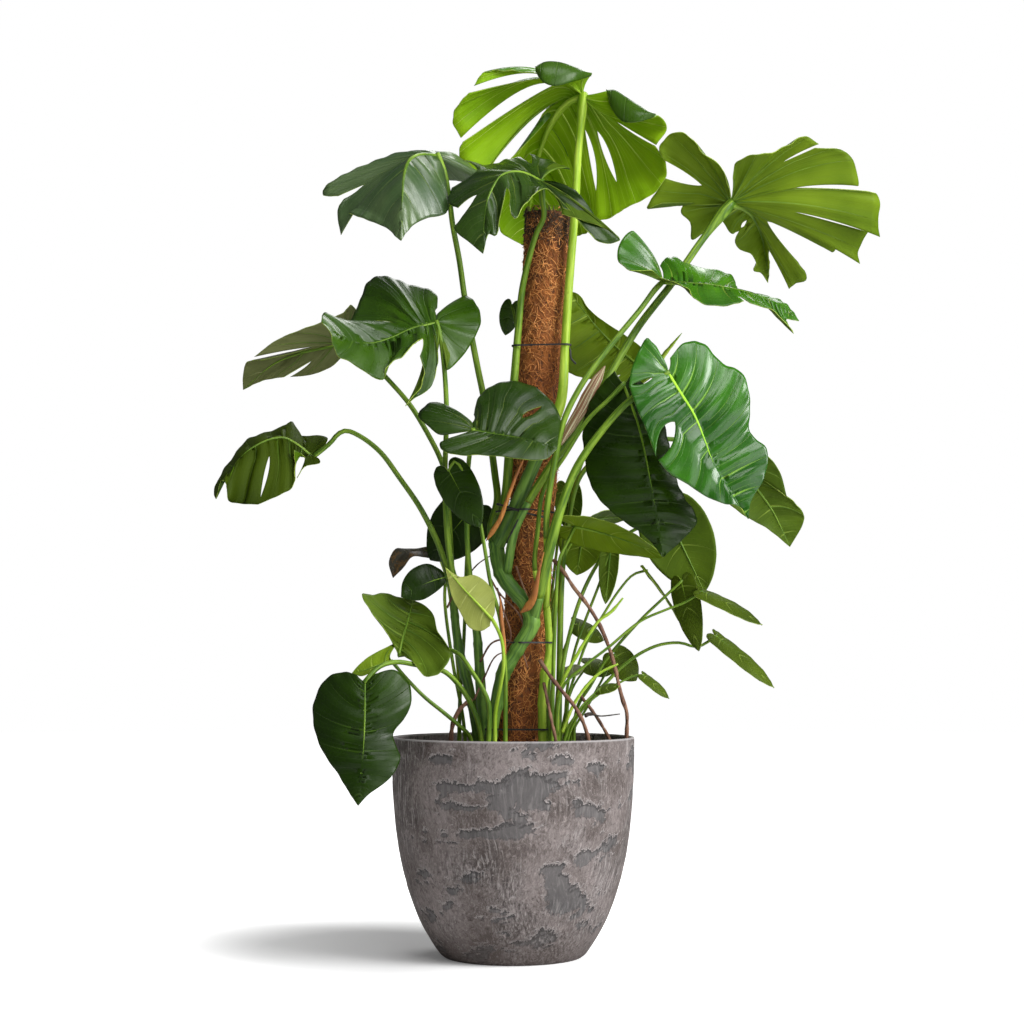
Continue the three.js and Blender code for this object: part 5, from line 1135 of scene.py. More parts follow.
def add(tree, kind, inputs=None, **settings):
    """A shader node of a kind with its settings; each input is a value, or another
    node's output to join."""
    node = tree.nodes.new(kind)
    for name, value in settings.items():
        setattr(node, name, value)
    for name, value in (inputs or {}).items():
        if isinstance(value, bpy.types.NodeSocket):
            tree.links.new(value, node.inputs[name])
        else:
            node.inputs[name].default_value = value
    return node


def sums(tree, operation, *values):
    """The output of a Math node on numbers or sockets."""
    return add(tree, "ShaderNodeMath", dict(enumerate(values)), operation=operation).outputs[0]


def times(tree, first, second):
    """The product of two numbers or sockets."""
    return sums(tree, "MULTIPLY", first, second)


def plus(tree, first, second):
    """The sum of two numbers or sockets."""
    return sums(tree, "ADD", first, second)


def fade(tree, value, low, high, first=0.0, last=1.0):
    """A value carried from one range to another with soft ends."""
    inputs = {"Value": value, "From Min": low, "From Max": high, "To Min": first, "To Max": last}
    return add(tree, "ShaderNodeMapRange", inputs, interpolation_type="SMOOTHSTEP").outputs[0]


def mixed(tree, share, first, second):
    """Two colours mixed by a share."""
    return add(tree, "ShaderNodeMix", {0: share, 6: first, 7: second}, data_type="RGBA").outputs[2]


def noise(tree, place, scale, detail=4.0, rough=0.55, bent=0.0):
    """Noise of 0 to 1 at a place; scale is in waves a metre."""
    inputs = {"Vector": place, "Scale": scale, "Detail": detail, "Roughness": rough, "Distortion": bent}
    return add(tree, "ShaderNodeTexNoise", inputs).outputs["Fac"]


def stretched(tree, place, scale):
    """A place with each axis scaled, to draw a pattern out along the smallest one."""
    return add(tree, "ShaderNodeMapping", {"Vector": place, "Scale": scale}).outputs[0]


def bumpy(tree, height, distance):
    """The normal that a height of 0 to 1 gives, its full height a distance in metres."""
    return add(tree, "ShaderNodeBump", {"Height": height, "Distance": distance, "Strength": 1.0}).outputs[0]


def mapped(tree, name):
    """A piece's own map by its name."""
    return add(tree, "ShaderNodeUVMap", uv_map=name).outputs[0]


def finish_named(name):
    """A new material with its node tree, its Object coordinates and an empty Principled shader."""
    finish = bpy.data.materials.new(name)
    finish.use_nodes = True
    tree = finish.node_tree
    tree.nodes.clear()
    place = add(tree, "ShaderNodeTexCoord").outputs["Object"]
    shader = add(tree, "ShaderNodeBsdfPrincipled")
    add(tree, "ShaderNodeOutputMaterial", {"Surface": shader.outputs[0]})
    return finish, tree, place, shader


def give(tree, shader, **sockets):
    """Values or outputs for the shader's sockets, their names with underscores for spaces."""
    for name, value in sockets.items():
        socket = shader.inputs[name.replace("_", " ")]
        if isinstance(value, bpy.types.NodeSocket):
            tree.links.new(value, socket)
        else:
            socket.default_value = value


def vein_group():
    """Group: where a leaf's veins are. Line is 1 on the pale lateral veins, Fine on the
    thin ones between, from the distance to the vein in mm: the vein map's part after the
    point less a half, times the spread. Veins grow thinner outwards. Panel goes from 0
    on a lateral vein to 1 between two, and Out from 0 at the midrib to 1 at the edge."""
    group = bpy.data.node_groups.new("leaf_veins", "ShaderNodeTree")
    for label in ("Line", "Fine", "Panel", "Out"):
        group.interface.new_socket(label, in_out="OUTPUT", socket_type="NodeSocketFloat")
    across, out, _ = add(group, "ShaderNodeSeparateXYZ", {0: mapped(group, "veins")}).outputs
    wide = add(group, "ShaderNodeSeparateXYZ", {0: mapped(group, "spread")}).outputs[0]

    def line(count, width):
        """A line along each vein of a set count between two laterals, and how far
        off it is as a share."""
        part = sums(group, "FRACT", times(group, across, count))
        off = sums(group, "ABSOLUTE", sums(group, "SUBTRACT", part, 0.5))
        distance = times(group, off, sums(group, "DIVIDE", wide, count))
        thick = fade(group, out, 0.0, 1.0, width, width * 0.3)
        near = fade(group, distance, times(group, thick, 0.4), thick, 1.0, 0.0)
        return times(group, near, fade(group, off, 0.1, 0.2, 1.0, 0.0)), off

    main, off = line(1.0, 1.5)
    fine, _ = line(5.0, 0.5)
    panel = fade(group, off, 0.0, 0.4)
    add(group, "NodeGroupOutput", {"Line": main, "Fine": fine, "Panel": panel, "Out": out})
    return group


VEINS = vein_group()

# The colours of the stone-effect pot
DARK_CRUST, PALE_CRUST = (0.105, 0.085, 0.078, 1), (0.24, 0.205, 0.198, 1)
SLATE, SLATE_SHADOW = (0.105, 0.104, 0.106, 1), (0.045, 0.042, 0.042, 1)
PALE_STREAK, DARK_STREAK = (0.4, 0.37, 0.36, 1), (0.05, 0.044, 0.043, 1)
PALE_GRAIN, DARK_GRAIN = (0.38, 0.33, 0.32, 1), (0.05, 0.038, 0.034, 1)
# Painted highlight along the crust's torn edge, painted shade darkening the foot, and a paler rim top
LIP_HIGHLIGHT, FOOT_SHADE, PALE_RIM_TOP = (0.55, 0.5, 0.49, 1), (0.07, 0.052, 0.045, 1), (0.42, 0.4, 0.4, 1)

# Brown spots of a dry leaf
DRY_SPOT = (0.16, 0.09, 0.03, 1)


def leaf_finish(name, deep, light, vein, roughness, shine, marks, dry=0.0):
    """A leaf's skin: its green varied by a slow noise, darkened by painted shade in the
    sunken valley along each lateral vein and pale along the vein itself, and a bump from the
    veins and the pores. shine is the strength of its gloss, marks of its pale veins, dry a
    share of brown spots."""
    finish, tree, place, shader = finish_named(name)
    veins = add(tree, "ShaderNodeGroup", node_tree=VEINS).outputs
    broad = fade(tree, noise(tree, place, 9.0, 2.0), 0.3, 0.7)
    fine = noise(tree, place, 260.0, 4.0, 0.6)
    colour = mixed(tree, broad, deep, light)
    colour = mixed(tree, fade(tree, fine, 0.45, 0.75, 0.0, 0.15), colour, light)
    # Painted shade: darker in the sunken valley along each lateral vein, fading out between two
    colour = mixed(tree, fade(tree, veins["Panel"], 0.0, 1.0, 0.3, 0.0), colour, deep)
    colour = mixed(tree, times(tree, veins["Fine"], marks * 0.25), colour, vein)
    along_vein = fade(tree, veins["Out"], 0.1, 1.0, marks, marks * 0.4)
    colour = mixed(tree, times(tree, veins["Line"], along_vein), colour, vein)
    if dry:
        spots = fade(tree, noise(tree, place, 55.0, 6.0, 0.7, 0.6), 0.62 - dry * 0.2, 0.7 - dry * 0.2)
        colour = mixed(tree, spots, colour, DRY_SPOT)
    gloss = fade(tree, noise(tree, place, 45.0, 4.0), 0.3, 0.7, roughness - 0.04, roughness + 0.08)
    height = plus(tree, times(tree, veins["Fine"], -0.25), times(tree, fine, 0.25))
    height = plus(tree, height, times(tree, veins["Line"], -0.8))
    give(tree, shader, Base_Color=colour, Roughness=gloss, Normal=bumpy(tree, height, 0.0006))
    give(tree, shader, Specular_IOR_Level=shine)
    return finish


def stalk_finish(name, pale, green, dark, edge=False):
    """A stem's skin: pale and mid green drawn out lengthwise by the stem's own map, with darker
    flecks and a soft gloss. On a blade's thin edge the pattern reads Object coordinates."""
    finish, tree, place, shader = finish_named(name)
    if not edge:
        place = mapped(tree, "veins")
    streak = noise(tree, stretched(tree, place, (330.0, 14.0, 1.0)), 1.0, 4.0)
    broad = noise(tree, stretched(tree, place, (60.0, 9.0, 1.0)), 1.0, 2.0)
    colour = mixed(tree, fade(tree, streak, 0.35, 0.65), green, pale)
    colour = mixed(tree, fade(tree, broad, 0.45, 0.7, 0.0, 0.5), colour, green)
    flecks = fade(tree, noise(tree, stretched(tree, place, (420.0, 130.0, 1.0)), 1.0, 2.0), 0.62, 0.72)
    colour = mixed(tree, times(tree, flecks, 0.3), colour, dark)
    give(tree, shader, Base_Color=colour, Roughness=fade(tree, streak, 0.2, 0.8, 0.34, 0.5))
    give(tree, shader, Normal=bumpy(tree, streak, 0.0004), Specular_IOR_Level=0.25)
    return finish


def stone_finish():
    """The planter's stone-effect skin: a brown-grey grained crust, torn open over smooth slate. The pot's
    vein map holds how far in mm a point lies inside the crust, and how squarely the crust stands above
    its torn edge there. Noise frays the edge. A pale painted highlight lies along it, where light from
    above catches the edge, and a painted shadow in the slate below. Streaks run upright, bent by a slow
    noise, the foot is darkened by painted shade and the rim's top is paler."""
    finish, tree, place, shader = finish_named("stone_effect")
    inside, above, _ = add(tree, "ShaderNodeSeparateXYZ", {0: mapped(tree, "veins")}).outputs
    teeth = noise(tree, stretched(tree, place, (130.0, 130.0, 80.0)), 1.0, 7.0, 0.7, 1.5)
    inside = plus(tree, inside, fade(tree, teeth, 0.2, 0.8, -7.0, 7.0))
    crust = fade(tree, inside, -0.8, 0.8)
    torn = fade(tree, above, 0.0, 0.7)
    # The lip where the crust stands above slate: a painted highlight of light from above in the colour, and
    # raised in the bump
    lit_lip = times(tree, crust, fade(tree, inside, 1.0, 5.0, 1.0, 0.0))
    lit_lip = times(tree, lit_lip, plus(tree, times(tree, torn, 0.75), 0.12))
    hollow = sums(tree, "SUBTRACT", 1.0, crust)
    shadow = times(tree, times(tree, hollow, torn), fade(tree, inside, -9.0, -1.0))
    warp = add(tree, "ShaderNodeTexNoise", {"Vector": place, "Scale": 7.0, "Detail": 2.0}).outputs["Color"]
    warp = add(tree, "ShaderNodeVectorMath", {0: warp, "Scale": 0.05}, operation="SCALE").outputs[0]
    bent = add(tree, "ShaderNodeVectorMath", {0: place, 1: warp}, operation="ADD").outputs[0]
    streak = noise(tree, stretched(tree, bent, (300.0, 300.0, 22.0)), 1.0, 5.0, 0.62, 0.5)
    grain = noise(tree, stretched(tree, bent, (190.0, 190.0, 120.0)), 1.0, 7.0, 0.8, 1.2)
    broad = noise(tree, place, 14.0, 4.0)
    worn = fade(tree, noise(tree, bent, 11.0, 3.0), 0.46, 0.62)
    streaked = plus(tree, times(tree, worn, 0.75), 0.25)
    rough = plus(tree, times(tree, crust, 0.7), 0.15)
    height = add(tree, "ShaderNodeSeparateXYZ", {0: place}).outputs[2]
    paints = (
        (plus(tree, times(tree, hollow, 0.75), times(tree, worn, 0.2)), SLATE),
        (times(tree, fade(tree, streak, 0.5, 0.66, 0.0, 0.85), streaked), PALE_STREAK),
        (times(tree, fade(tree, streak, 0.5, 0.34, 0.0, 0.8), streaked), DARK_STREAK),
        (times(tree, fade(tree, grain, 0.5, 0.68), rough), PALE_GRAIN),
        (times(tree, fade(tree, grain, 0.5, 0.34), rough), DARK_GRAIN),
        (times(tree, shadow, 0.75), SLATE_SHADOW),
        # Painted highlight along the torn edge
        (times(tree, lit_lip, 0.8), LIP_HIGHLIGHT),
        # Painted shade: darker towards the foot, which curves in under the pot
        (fade(tree, height, 0.0, 0.09, 0.5, 0.0), FOOT_SHADE),
        # Paler along the rim's top
        (fade(tree, height, 0.3245, 0.3265, 0.0, 0.7), PALE_RIM_TOP),
    )
    colour = mixed(tree, fade(tree, broad, 0.32, 0.68), DARK_CRUST, PALE_CRUST)
    for share, paint in paints:
        colour = mixed(tree, share, colour, paint)
    relief = plus(tree, times(tree, crust, 0.9), times(tree, streak, 0.3))
    relief = plus(tree, relief, times(tree, times(tree, grain, rough), 0.5))
    relief = plus(tree, relief, times(tree, lit_lip, 0.5))
    give(tree, shader, Base_Color=colour, Roughness=fade(tree, grain, 0.3, 0.7, 0.6, 0.85))
    give(tree, shader, Normal=bumpy(tree, relief, 0.0011), Specular_IOR_Level=0.2)
    return finish


def rough_finish(name, first, second, dark, scale, stretch, depth, roughness):
    """A dull natural skin, as of coir, bark, earth or dry sheath: two colours by noise, and
    painted shade darkening the hollows of its bump."""
    finish, tree, place, shader = finish_named(name)
    grain = noise(tree, stretched(tree, place, stretch), scale, 6.0, 0.65, 0.8)
    broad = noise(tree, place, scale / 9, 3.0)
    colour = mixed(tree, fade(tree, broad, 0.3, 0.7), first, second)
    # Painted shade: the colour darkens where the bump's noise sinks
    colour = mixed(tree, fade(tree, grain, 0.55, 0.35, 0.0, 0.8), colour, dark)
    give(tree, shader, Base_Color=colour, Roughness=roughness, Normal=bumpy(tree, grain, depth))
    return finish


def striped_finish():
    """A torn sheath: pale green with brown stripes that run its length, their place
    across from the vein map."""
    finish, tree, _, shader = finish_named("striped_sheath")
    stripe = noise(tree, stretched(tree, mapped(tree, "veins"), (5.0, 1.2, 1.0)), 1.0, 4.0, 0.65, 0.3)
    colour = mixed(tree, fade(tree, stripe, 0.42, 0.52), (0.62, 0.62, 0.38, 1), (0.24, 0.09, 0.04, 1))
    colour = mixed(tree, fade(tree, stripe, 0.56, 0.66), colour, (0.12, 0.2, 0.05, 1))
    give(tree, shader, Base_Color=colour, Roughness=0.6, Normal=bumpy(tree, stripe, 0.0008))
    return finish


STONE = stone_finish()
STRIPED = striped_finish()
EARTH = rough_finish("earth", (0.05, 0.03, 0.018, 1), (0.02, 0.012, 0.008, 1), (0.006, 0.004, 0.003, 1),
                     90.0, (1, 1, 1), 0.003, 0.95)
COIR = rough_finish("coir", (0.34, 0.11, 0.02, 1), (0.17, 0.05, 0.01, 1), (0.02, 0.007, 0.003, 1),
                    130.0, (1, 1, 0.6), 0.003, 0.92)
FIBRE = rough_finish("coir_fibre", (0.95, 0.44, 0.13, 1), (0.5, 0.17, 0.035, 1), (0.15, 0.045, 0.01, 1),
                     90.0, (1, 1, 1), 0.0004, 0.8)
FIBRE_DARK = rough_finish("coir_fibre_dark", (0.12, 0.07, 0.035, 1),
                          (0.06, 0.04, 0.02, 1), (0.02, 0.012, 0.008, 1), 300.0, (1, 1, 1), 0.0004, 0.85)
CORE_WOOD = rough_finish("core_wood", (0.36, 0.25, 0.14, 1), (0.28, 0.19, 0.1, 1), (0.15, 0.1, 0.05, 1),
                         120.0, (1, 1, 0.1), 0.0006, 0.8)
ROOT_BARK = rough_finish("root_bark", (0.34, 0.18, 0.11, 1), (0.16, 0.07, 0.04, 1), (0.05, 0.022, 0.014, 1),
                         120.0, (1, 1, 0.3), 0.0006, 0.75)
SHEATH = rough_finish("dry_sheath", (0.62, 0.25, 0.05, 1), (0.4, 0.14, 0.03, 1), (0.16, 0.055, 0.015, 1),
                      160.0, (1, 1, 0.12), 0.0006, 0.6)
DRY_WOOD = rough_finish("dry_wood", (0.11, 0.09, 0.07, 1), (0.05, 0.04, 0.03, 1), (0.015, 0.012, 0.01, 1),
                        200.0, (0.3, 1, 1), 0.0006, 0.8)
TIE_SKIN = rough_finish("black_tie", (0.012, 0.012, 0.012, 1),
                        (0.02, 0.02, 0.02, 1), (0.004, 0.004, 0.004, 1), 300.0, (1, 1, 1), 0.0002, 0.5)
VINE_SKIN = stalk_finish("vine_skin",
                         (0.17, 0.32, 0.05, 1), (0.045, 0.12, 0.02, 1), (0.012, 0.035, 0.008, 1))
STALK = stalk_finish("petiole_skin",
                     (0.22, 0.36, 0.03, 1), (0.06, 0.14, 0.01, 1), (0.02, 0.05, 0.004, 1))
PALE_STALK = stalk_finish("petiole_pale",
                          (0.45, 0.62, 0.07, 1), (0.24, 0.42, 0.02, 1), (0.1, 0.18, 0.01, 1))
BRIGHT_VEIN = stalk_finish("bright_vein",
                           (0.5, 0.85, 0.06, 1), (0.3, 0.68, 0.03, 1), (0.15, 0.4, 0.02, 1))
PALE_EDGE = stalk_finish("leaf_edge",
                         (0.4, 0.5, 0.08, 1), (0.2, 0.32, 0.04, 1), (0.1, 0.15, 0.02, 1), True)
DRY_EDGE = stalk_finish("dry_edge",
                        (0.12, 0.1, 0.06, 1), (0.08, 0.06, 0.03, 1), (0.03, 0.02, 0.01, 1), True)

PALE_VEIN = (0.3, 0.42, 0.06, 1)
DEEP_VEIN = (0.1, 0.2, 0.02, 1)

# The undersides that several looks share, in the terms of the table below
OLIVE_UNDER = ((0.045, 0.085, 0.004, 1), (0.09, 0.15, 0.009, 1), PALE_VEIN, 0.5, 0.1, 0.45)
DEEP_UNDER = ((0.05, 0.1, 0.006, 1), (0.09, 0.15, 0.01, 1), PALE_VEIN, 0.5, 0.08, 0.5)
# A painted glow: the lime underside is made bright to stand in for light shining through the leaf from behind
BACKLIT_GLOW_UNDER = ((0.15, 0.3, 0.003, 1), (0.25, 0.44, 0.008, 1), (0.75, 0.95, 0.2, 1), 0.5, 0.06, 1.0)
GREY_UNDER = ((0.1, 0.12, 0.035, 1), (0.17, 0.19, 0.07, 1), (0.3, 0.33, 0.14, 1), 0.5, 0.1, 0.4)
YOUNG_UNDER = ((0.2, 0.23, 0.045, 1), (0.3, 0.34, 0.08, 1), (0.45, 0.5, 0.15, 1), 0.45, 0.1, 0.6)

# A leaf's looks. Above and below, each has its deep and light green, its veins, its
# roughness, its gloss, how clear its veins are and, on a dry leaf, a share of brown
# spots. Then come its stem's finish, its edge's and its veins'
GREENS = {
    "dark": (((0.008, 0.022, 0.001, 1), (0.022, 0.056, 0.002, 1), DEEP_VEIN, 0.3, 0.2, 0.2), DEEP_UNDER),
    "deep": (((0.018, 0.055, 0.002, 1), (0.045, 0.11, 0.005, 1), DEEP_VEIN, 0.28, 0.25, 0.3), DEEP_UNDER),
    # Its greyish green is partly its own colour and partly a painted sheen
    "leather_sheen": (((0.03, 0.075, 0.018, 1), (0.085, 0.14, 0.045, 1), PALE_VEIN, 0.33, 0.7, 0.3), DEEP_UNDER),
    "bright": (((0.01, 0.075, 0.002, 1), (0.04, 0.18, 0.006, 1), (0.3, 0.6, 0.06, 1), 0.2, 0.6, 0.6),
               BACKLIT_GLOW_UNDER, STALK, PALE_EDGE, BRIGHT_VEIN),
    "fresh": (((0.022, 0.1, 0.003, 1), (0.06, 0.2, 0.008, 1), PALE_VEIN, 0.22, 0.5, 0.35), DEEP_UNDER),
    "olive": (((0.04, 0.07, 0.002, 1), (0.085, 0.135, 0.006, 1), PALE_VEIN, 0.42, 0.12, 0.4), OLIVE_UNDER),
    # Its underside is brighter: a painted glow of light shining through from behind
    "backlit_spring": (((0.04, 0.085, 0.003, 1), (0.09, 0.16, 0.006, 1), PALE_VEIN, 0.4, 0.15, 0.4),
               ((0.085, 0.15, 0.004, 1), (0.16, 0.25, 0.01, 1), PALE_VEIN, 0.45, 0.08, 0.7)),
    # Its underside carries the painted glow of light shining through from behind
    "backlit_lime": (((0.03, 0.12, 0.003, 1), (0.1, 0.26, 0.006, 1), PALE_VEIN, 0.3, 0.4, 0.4),
             BACKLIT_GLOW_UNDER, PALE_STALK),
    "young": (((0.16, 0.22, 0.025, 1), (0.29, 0.35, 0.065, 1), (0.5, 0.6, 0.12, 1), 0.4, 0.25, 0.45),
              YOUNG_UNDER, PALE_STALK),
    "grey": (((0.1, 0.115, 0.055, 1), (0.17, 0.18, 0.1, 1), (0.25, 0.28, 0.14, 1), 0.42, 0.3, 0.4),
             GREY_UNDER),
    "mid": (((0.012, 0.034, 0.003, 1), (0.03, 0.07, 0.006, 1), PALE_VEIN, 0.28, 0.35, 0.25), OLIVE_UNDER),
    "curled": (((0.022, 0.04, 0.001, 1), (0.045, 0.075, 0.002, 1), DEEP_VEIN, 0.5, 0.06, 0.3),
               ((0.04, 0.08, 0.001, 1), (0.08, 0.17, 0.002, 1), DEEP_VEIN, 0.5, 0.06, 0.4)),
    "dry": (((0.05, 0.045, 0.03, 1), (0.11, 0.1, 0.07, 1), (0.17, 0.15, 0.09, 1), 0.45, 0.3, 0.4, 0.5),
            ((0.05, 0.045, 0.03, 1), (0.09, 0.07, 0.04, 1), (0.17, 0.15, 0.09, 1), 0.5, 0.2, 0.4, 0.5),
            PALE_STALK, DRY_EDGE),
}


def look(name, above, below, stem=STALK, edge=PALE_EDGE, veins=None):
    """A leaf's five finishes; its veins are like its stem where the table names none."""
    sides = leaf_finish("leaf_%s_top" % name, *above), leaf_finish("leaf_%s_under" % name, *below)
    return (*sides, stem, edge, veins or stem)


LOOKS = {name: look(name, *row) for name, row in GREENS.items()}

# Which leaves have each look
LEAVES_OF = {
    "dark": ("leaf_lowest", "leaf_left_dark_flap", "leaf_left_oval", "leaf_right_dark", "leaf_left_broad"),
    "deep": ("leaf_mid_left_front", "leaf_shoot_back", "leaf_shoot_round", "leaf_behind_small"),
    "leather_sheen": ("leaf_upper_left",),
    "bright": ("leaf_right_bright",),
    "fresh": ("leaf_right_twisted",),
    "olive": ("leaf_right_back", "leaf_right_heart", "leaf_shoot_slim", "leaf_left_olive",
              "leaf_basal_edge", "leaf_basal_yellow", "leaf_basal_right", "leaf_basal_far",
              "leaf_basal_small", "leaf_basal_mid", "leaf_basal_back", "leaf_basal_behind", "leaf_basal_low"),
    "backlit_spring": ("leaf_upper_right", "leaf_behind_pole", "leaf_shoot_grey", "leaf_shoot_hanging",
               "leaf_left_low"),
    "backlit_lime": ("leaf_top",),
    "young": ("leaf_left_pale",),
    "grey": ("leaf_mid_left_back", "leaf_basal_left"),
    "mid": ("leaf_over_pole", "leaf_centre"),
    "curled": ("leaf_left_curled",),
    "dry": ("leaf_left_withered",),
}
LEAF_LOOKS = {leaf: LOOKS[name] for name, leaves in LEAVES_OF.items() for leaf in leaves}


def make_vine(name, vine):
    """A climbing stem with raised ring nodes: the radius grows by a narrow bell at
    each node. The first stretch of every petiole that clasps it is part of it."""
    length = curve_length(vine["route"])
    shares = np.linspace(0, 1, round(length / VINE_STEP))
    places, ahead = along(np.array(vine["route"], float), shares)
    radii = tapered(vine["radii"], shares)
    place = shares * length / NODE_DISTANCE
    radii = radii * (1 + 0.13 * np.exp(-(((place % 1 - 0.5) / 0.09) ** 2)))
    turn = turns(VINE_SIDES)[None]
    bumps = 0.04 * np.sin(3 * turn + 2 * shares[:, None] * 9) * np.sin(5.3 * place[:, None])
    shape = Shape()
    tube(shape, places, ahead, radii, VINE_SIDES, bumps=bumps)
    for leaf in LEAVES.values():
        if leaf.get("vine") == name:
            foot = np.array([*leaf["route"], leaf["joint"]], float)
            part = np.linspace(0, leaf["clasp"] - 0.3 / curve_length(foot), CLASP_STEPS)
            at, way = along(foot, part)
            tube(shape, at, way, tapered(leaf["radii"], part), CLASP_SIDES)
    skin = PALE_STALK if name == "vine_right" else VINE_SKIN
    piece("fine_" + name, shape.mesh(name), [skin], "vine", name)


def make_root(name, root):
    """An aerial root: a thin uneven stem, its radius varied by two slow waves."""
    route = np.array(root["route"], float)
    shares = np.linspace(0, 1, round(curve_length(route) / ROOT_STEP))
    places, ahead = along(route, shares)
    radii = root["radius"] * (1 + 0.12 * np.sin(shares * 41) + 0.08 * np.sin(shares * 97))
    shape = Shape()
    tube(shape, places, ahead, radii, ROOT_SIDES)
    piece("fine_" + name, shape.mesh(name), [ROOT_BARK], "root", name)


def smooth_noise(x, y, z, seed):
    """A soft noise without a table: the mean of eight sines whose directions and
    phases come from the seed."""
    rng = np.random.default_rng(seed)
    total = np.zeros(np.broadcast(x, y, z).shape)
    for _ in range(8):
        a, b, c = rng.normal(size=3)
        total = total + np.sin(a * x + b * y + c * z + rng.uniform(0, 2 * math.pi))
    return total / 8


def pot_curve(count):
    """The pot's outside as points of [radius, height] on a smooth curve, from the foot to the rim."""
    return spline([[radius, height, 0] for radius, height in POT_PROFILE], np.linspace(0, 1, count))[:, :2]


def pot_radius(heights):
    """The pot's outer radius at heights, read off the smooth profile."""
    curve = pot_curve(CURVE_STEPS)
    return np.interp(heights, curve[:, 1], curve[:, 0])


def crust_depth(places, row_step, column_step):
    """How far in mm a point of the pot lies inside its crust, and how squarely the
    crust lies above its edge there. A soft field, of noise in three sizes less a
    bell for each patch of slate, is divided by its own slope."""
    x, y, z = np.moveaxis(places, -1, 0)
    field = 0.36 + smooth_noise(x / 30, y / 30, z / 15, 4) * 0.8
    field = field + smooth_noise(x / 10, y / 10, z / 6, 5) * 0.4
    field = field + smooth_noise(x / 4, y / 4, z / 3.5, 6) * 0.25
    for middle, height, wide, high in SLATE_PATCHES:
        off = ((x - middle) / wide) ** 2 + ((z - height) / high) ** 2
        field = field - 0.85 * np.exp(-off) * (y < 0)
    down = np.gradient(field, axis=0) / row_step
    around = np.gradient(field, axis=1) / column_step
    slope = np.maximum(np.hypot(down, around), 0.004)
    return np.clip(field / slope, -15, 15), down / slope


def make_pot():
    """The planter: a profile turned round the upright axis. Its crust stands a
    little proud of the slate, and both fade out at the foot and the rim."""
    top = POT_PROFILE[-1][1]
    rim = [[radius, top + height] for radius, height in POT_LIP]
    inner = np.linspace(top - 4, POT_FLOOR, INSIDE_RINGS)
    inside = np.stack([pot_radius(inner) - POT_WALL, inner], -1)
    foot = [[0, 0], [POT_FOOT_RADIUS, 0]]
    outline = np.vstack([foot, pot_curve(POT_RINGS), rim, inside, [[0, POT_FLOOR]]])
    turn = turns(POT_COLUMNS)[None, :]
    radius, height = outline[:, :1], outline[:, 1:]
    places = round_axis(radius, turn, height)
    steps = np.maximum(np.gradient(height, axis=0), 0.5), np.maximum(radius * 2 * math.pi / turn.size, 0.5)
    depth, above = crust_depth(places, *steps)
    face = np.zeros((len(outline), 1))
    face[len(foot):len(foot) + POT_RINGS, 0] = np.sin(math.pi * np.linspace(0, 1, POT_RINGS)) ** 0.3
    proud = 0.5 * np.tanh(depth / 2) + 0.35 * smooth_noise(*np.moveaxis(places / 12, -1, 0), 7)
    shape = Shape()
    points = round_axis(radius + face * proud, turn, height)
    shape.grid(points, around=True, veins=np.stack([depth, above], -1))
    piece("fine_pot", shape.mesh("pot"), [STONE], "pot", "pot")


def make_soil():
    """The potting mix: a mound inside the pot with a crumbly top from three sizes of noise."""
    share = np.linspace(0, 1, SOIL_RINGS)[:, None]
    turn = turns(SOIL_COLUMNS)[None, :]
    edge = pot_radius(np.array([SOIL_EDGE_HEIGHT]))[0] - POT_WALL - 2
    height = SOIL_MIDDLE_HEIGHT + (SOIL_EDGE_HEIGHT - SOIL_MIDDLE_HEIGHT) * share**2
    x, y = share * edge * np.cos(turn), share * edge * np.sin(turn)
    crumbs = smooth_noise(x / 9, y / 9, 0, 1) * 4 + smooth_noise(x / 3.5, y / 3.5, 0, 2) * 2.5
    crumbs = crumbs + smooth_noise(x / 1.5, y / 1.5, 0, 3) * 1.2
    top = np.stack([x, y, height + crumbs * (1 - share**20)], -1)
    wall_height = np.linspace(SOIL_EDGE_HEIGHT - 4, POT_FLOOR + 0.3, INSIDE_RINGS)[:, None]
    wall = round_axis(pot_radius(wall_height) - POT_WALL - 2, turn, wall_height)
    floor = round_axis(0, turn, POT_FLOOR + 0.3)
    shape = Shape()
    shape.grid(np.concatenate([top, wall, floor]), around=True, flip=True)
    piece("fine_soil", shape.mesh("soil"), [EARTH], "soil", "soil")


def pole_axes():
    """The pole's foot, its direction and two directions across it."""
    foot, top = np.array(POLE_FOOT, float), np.array(POLE_TOP, float)
    ahead = unit(top - foot)
    out = unit(np.cross(ahead, [0, 1, 0]))
    return foot, float(np.linalg.norm(top - foot)), ahead, out, np.cross(ahead, out)


def on_pole(height, turn, radius):
    """Places on the pole: a height along its axis, an angle round it and a radius."""
    foot, _, ahead, out, across = pole_axes()
    height, turn, radius = np.broadcast_arrays(height, turn, radius)
    around = out * np.cos(turn)[..., None] + across * np.sin(turn)[..., None]
    return foot + ahead * height[..., None] + around * radius[..., None]


def pole_skin(height, turn):
    """The coir's radius: a little less than the pole's, with lumps from two sizes of noise."""
    x, y = np.cos(turn) * 2.2, np.sin(turn) * 2.2
    lumps = smooth_noise(x, y, height / 22, 11) * 1.6 + smooth_noise(x * 3, y * 3, height / 7, 12) * 0.9
    return POLE_RADIUS - 1.6 + lumps


def make_coir():
    """The coir sleeve: a lumpy tube, closed at its foot by a point and at its top by an uneven lid."""
    _, length, *_ = pole_axes()
    height = np.linspace(0, length - 1, SLEEVE_RINGS)[:, None]
    turn = turns(SLEEVE_COLUMNS)[None, :]
    skin = on_pole(height, turn, pole_skin(height, turn))
    lid_radius = np.linspace(1, 0, LID_RINGS)[1:, None] * (POLE_RADIUS - 2) + 0 * turn
    x, y = lid_radius * np.cos(turn), lid_radius * np.sin(turn)
    lid_lift = length - 1 + 1.5 * smooth_noise(x / 6, y / 6, 0, 13)
    lid = on_pole(lid_lift, turn, lid_radius)
    foot = on_pole(0.0 * turn, turn, 0.0 * turn)
    shape = Shape()
    shape.grid(np.concatenate([foot, skin, lid]), around=True)
    piece("fine_coir", shape.mesh("coir"), [COIR], "coir", "pole_coir")


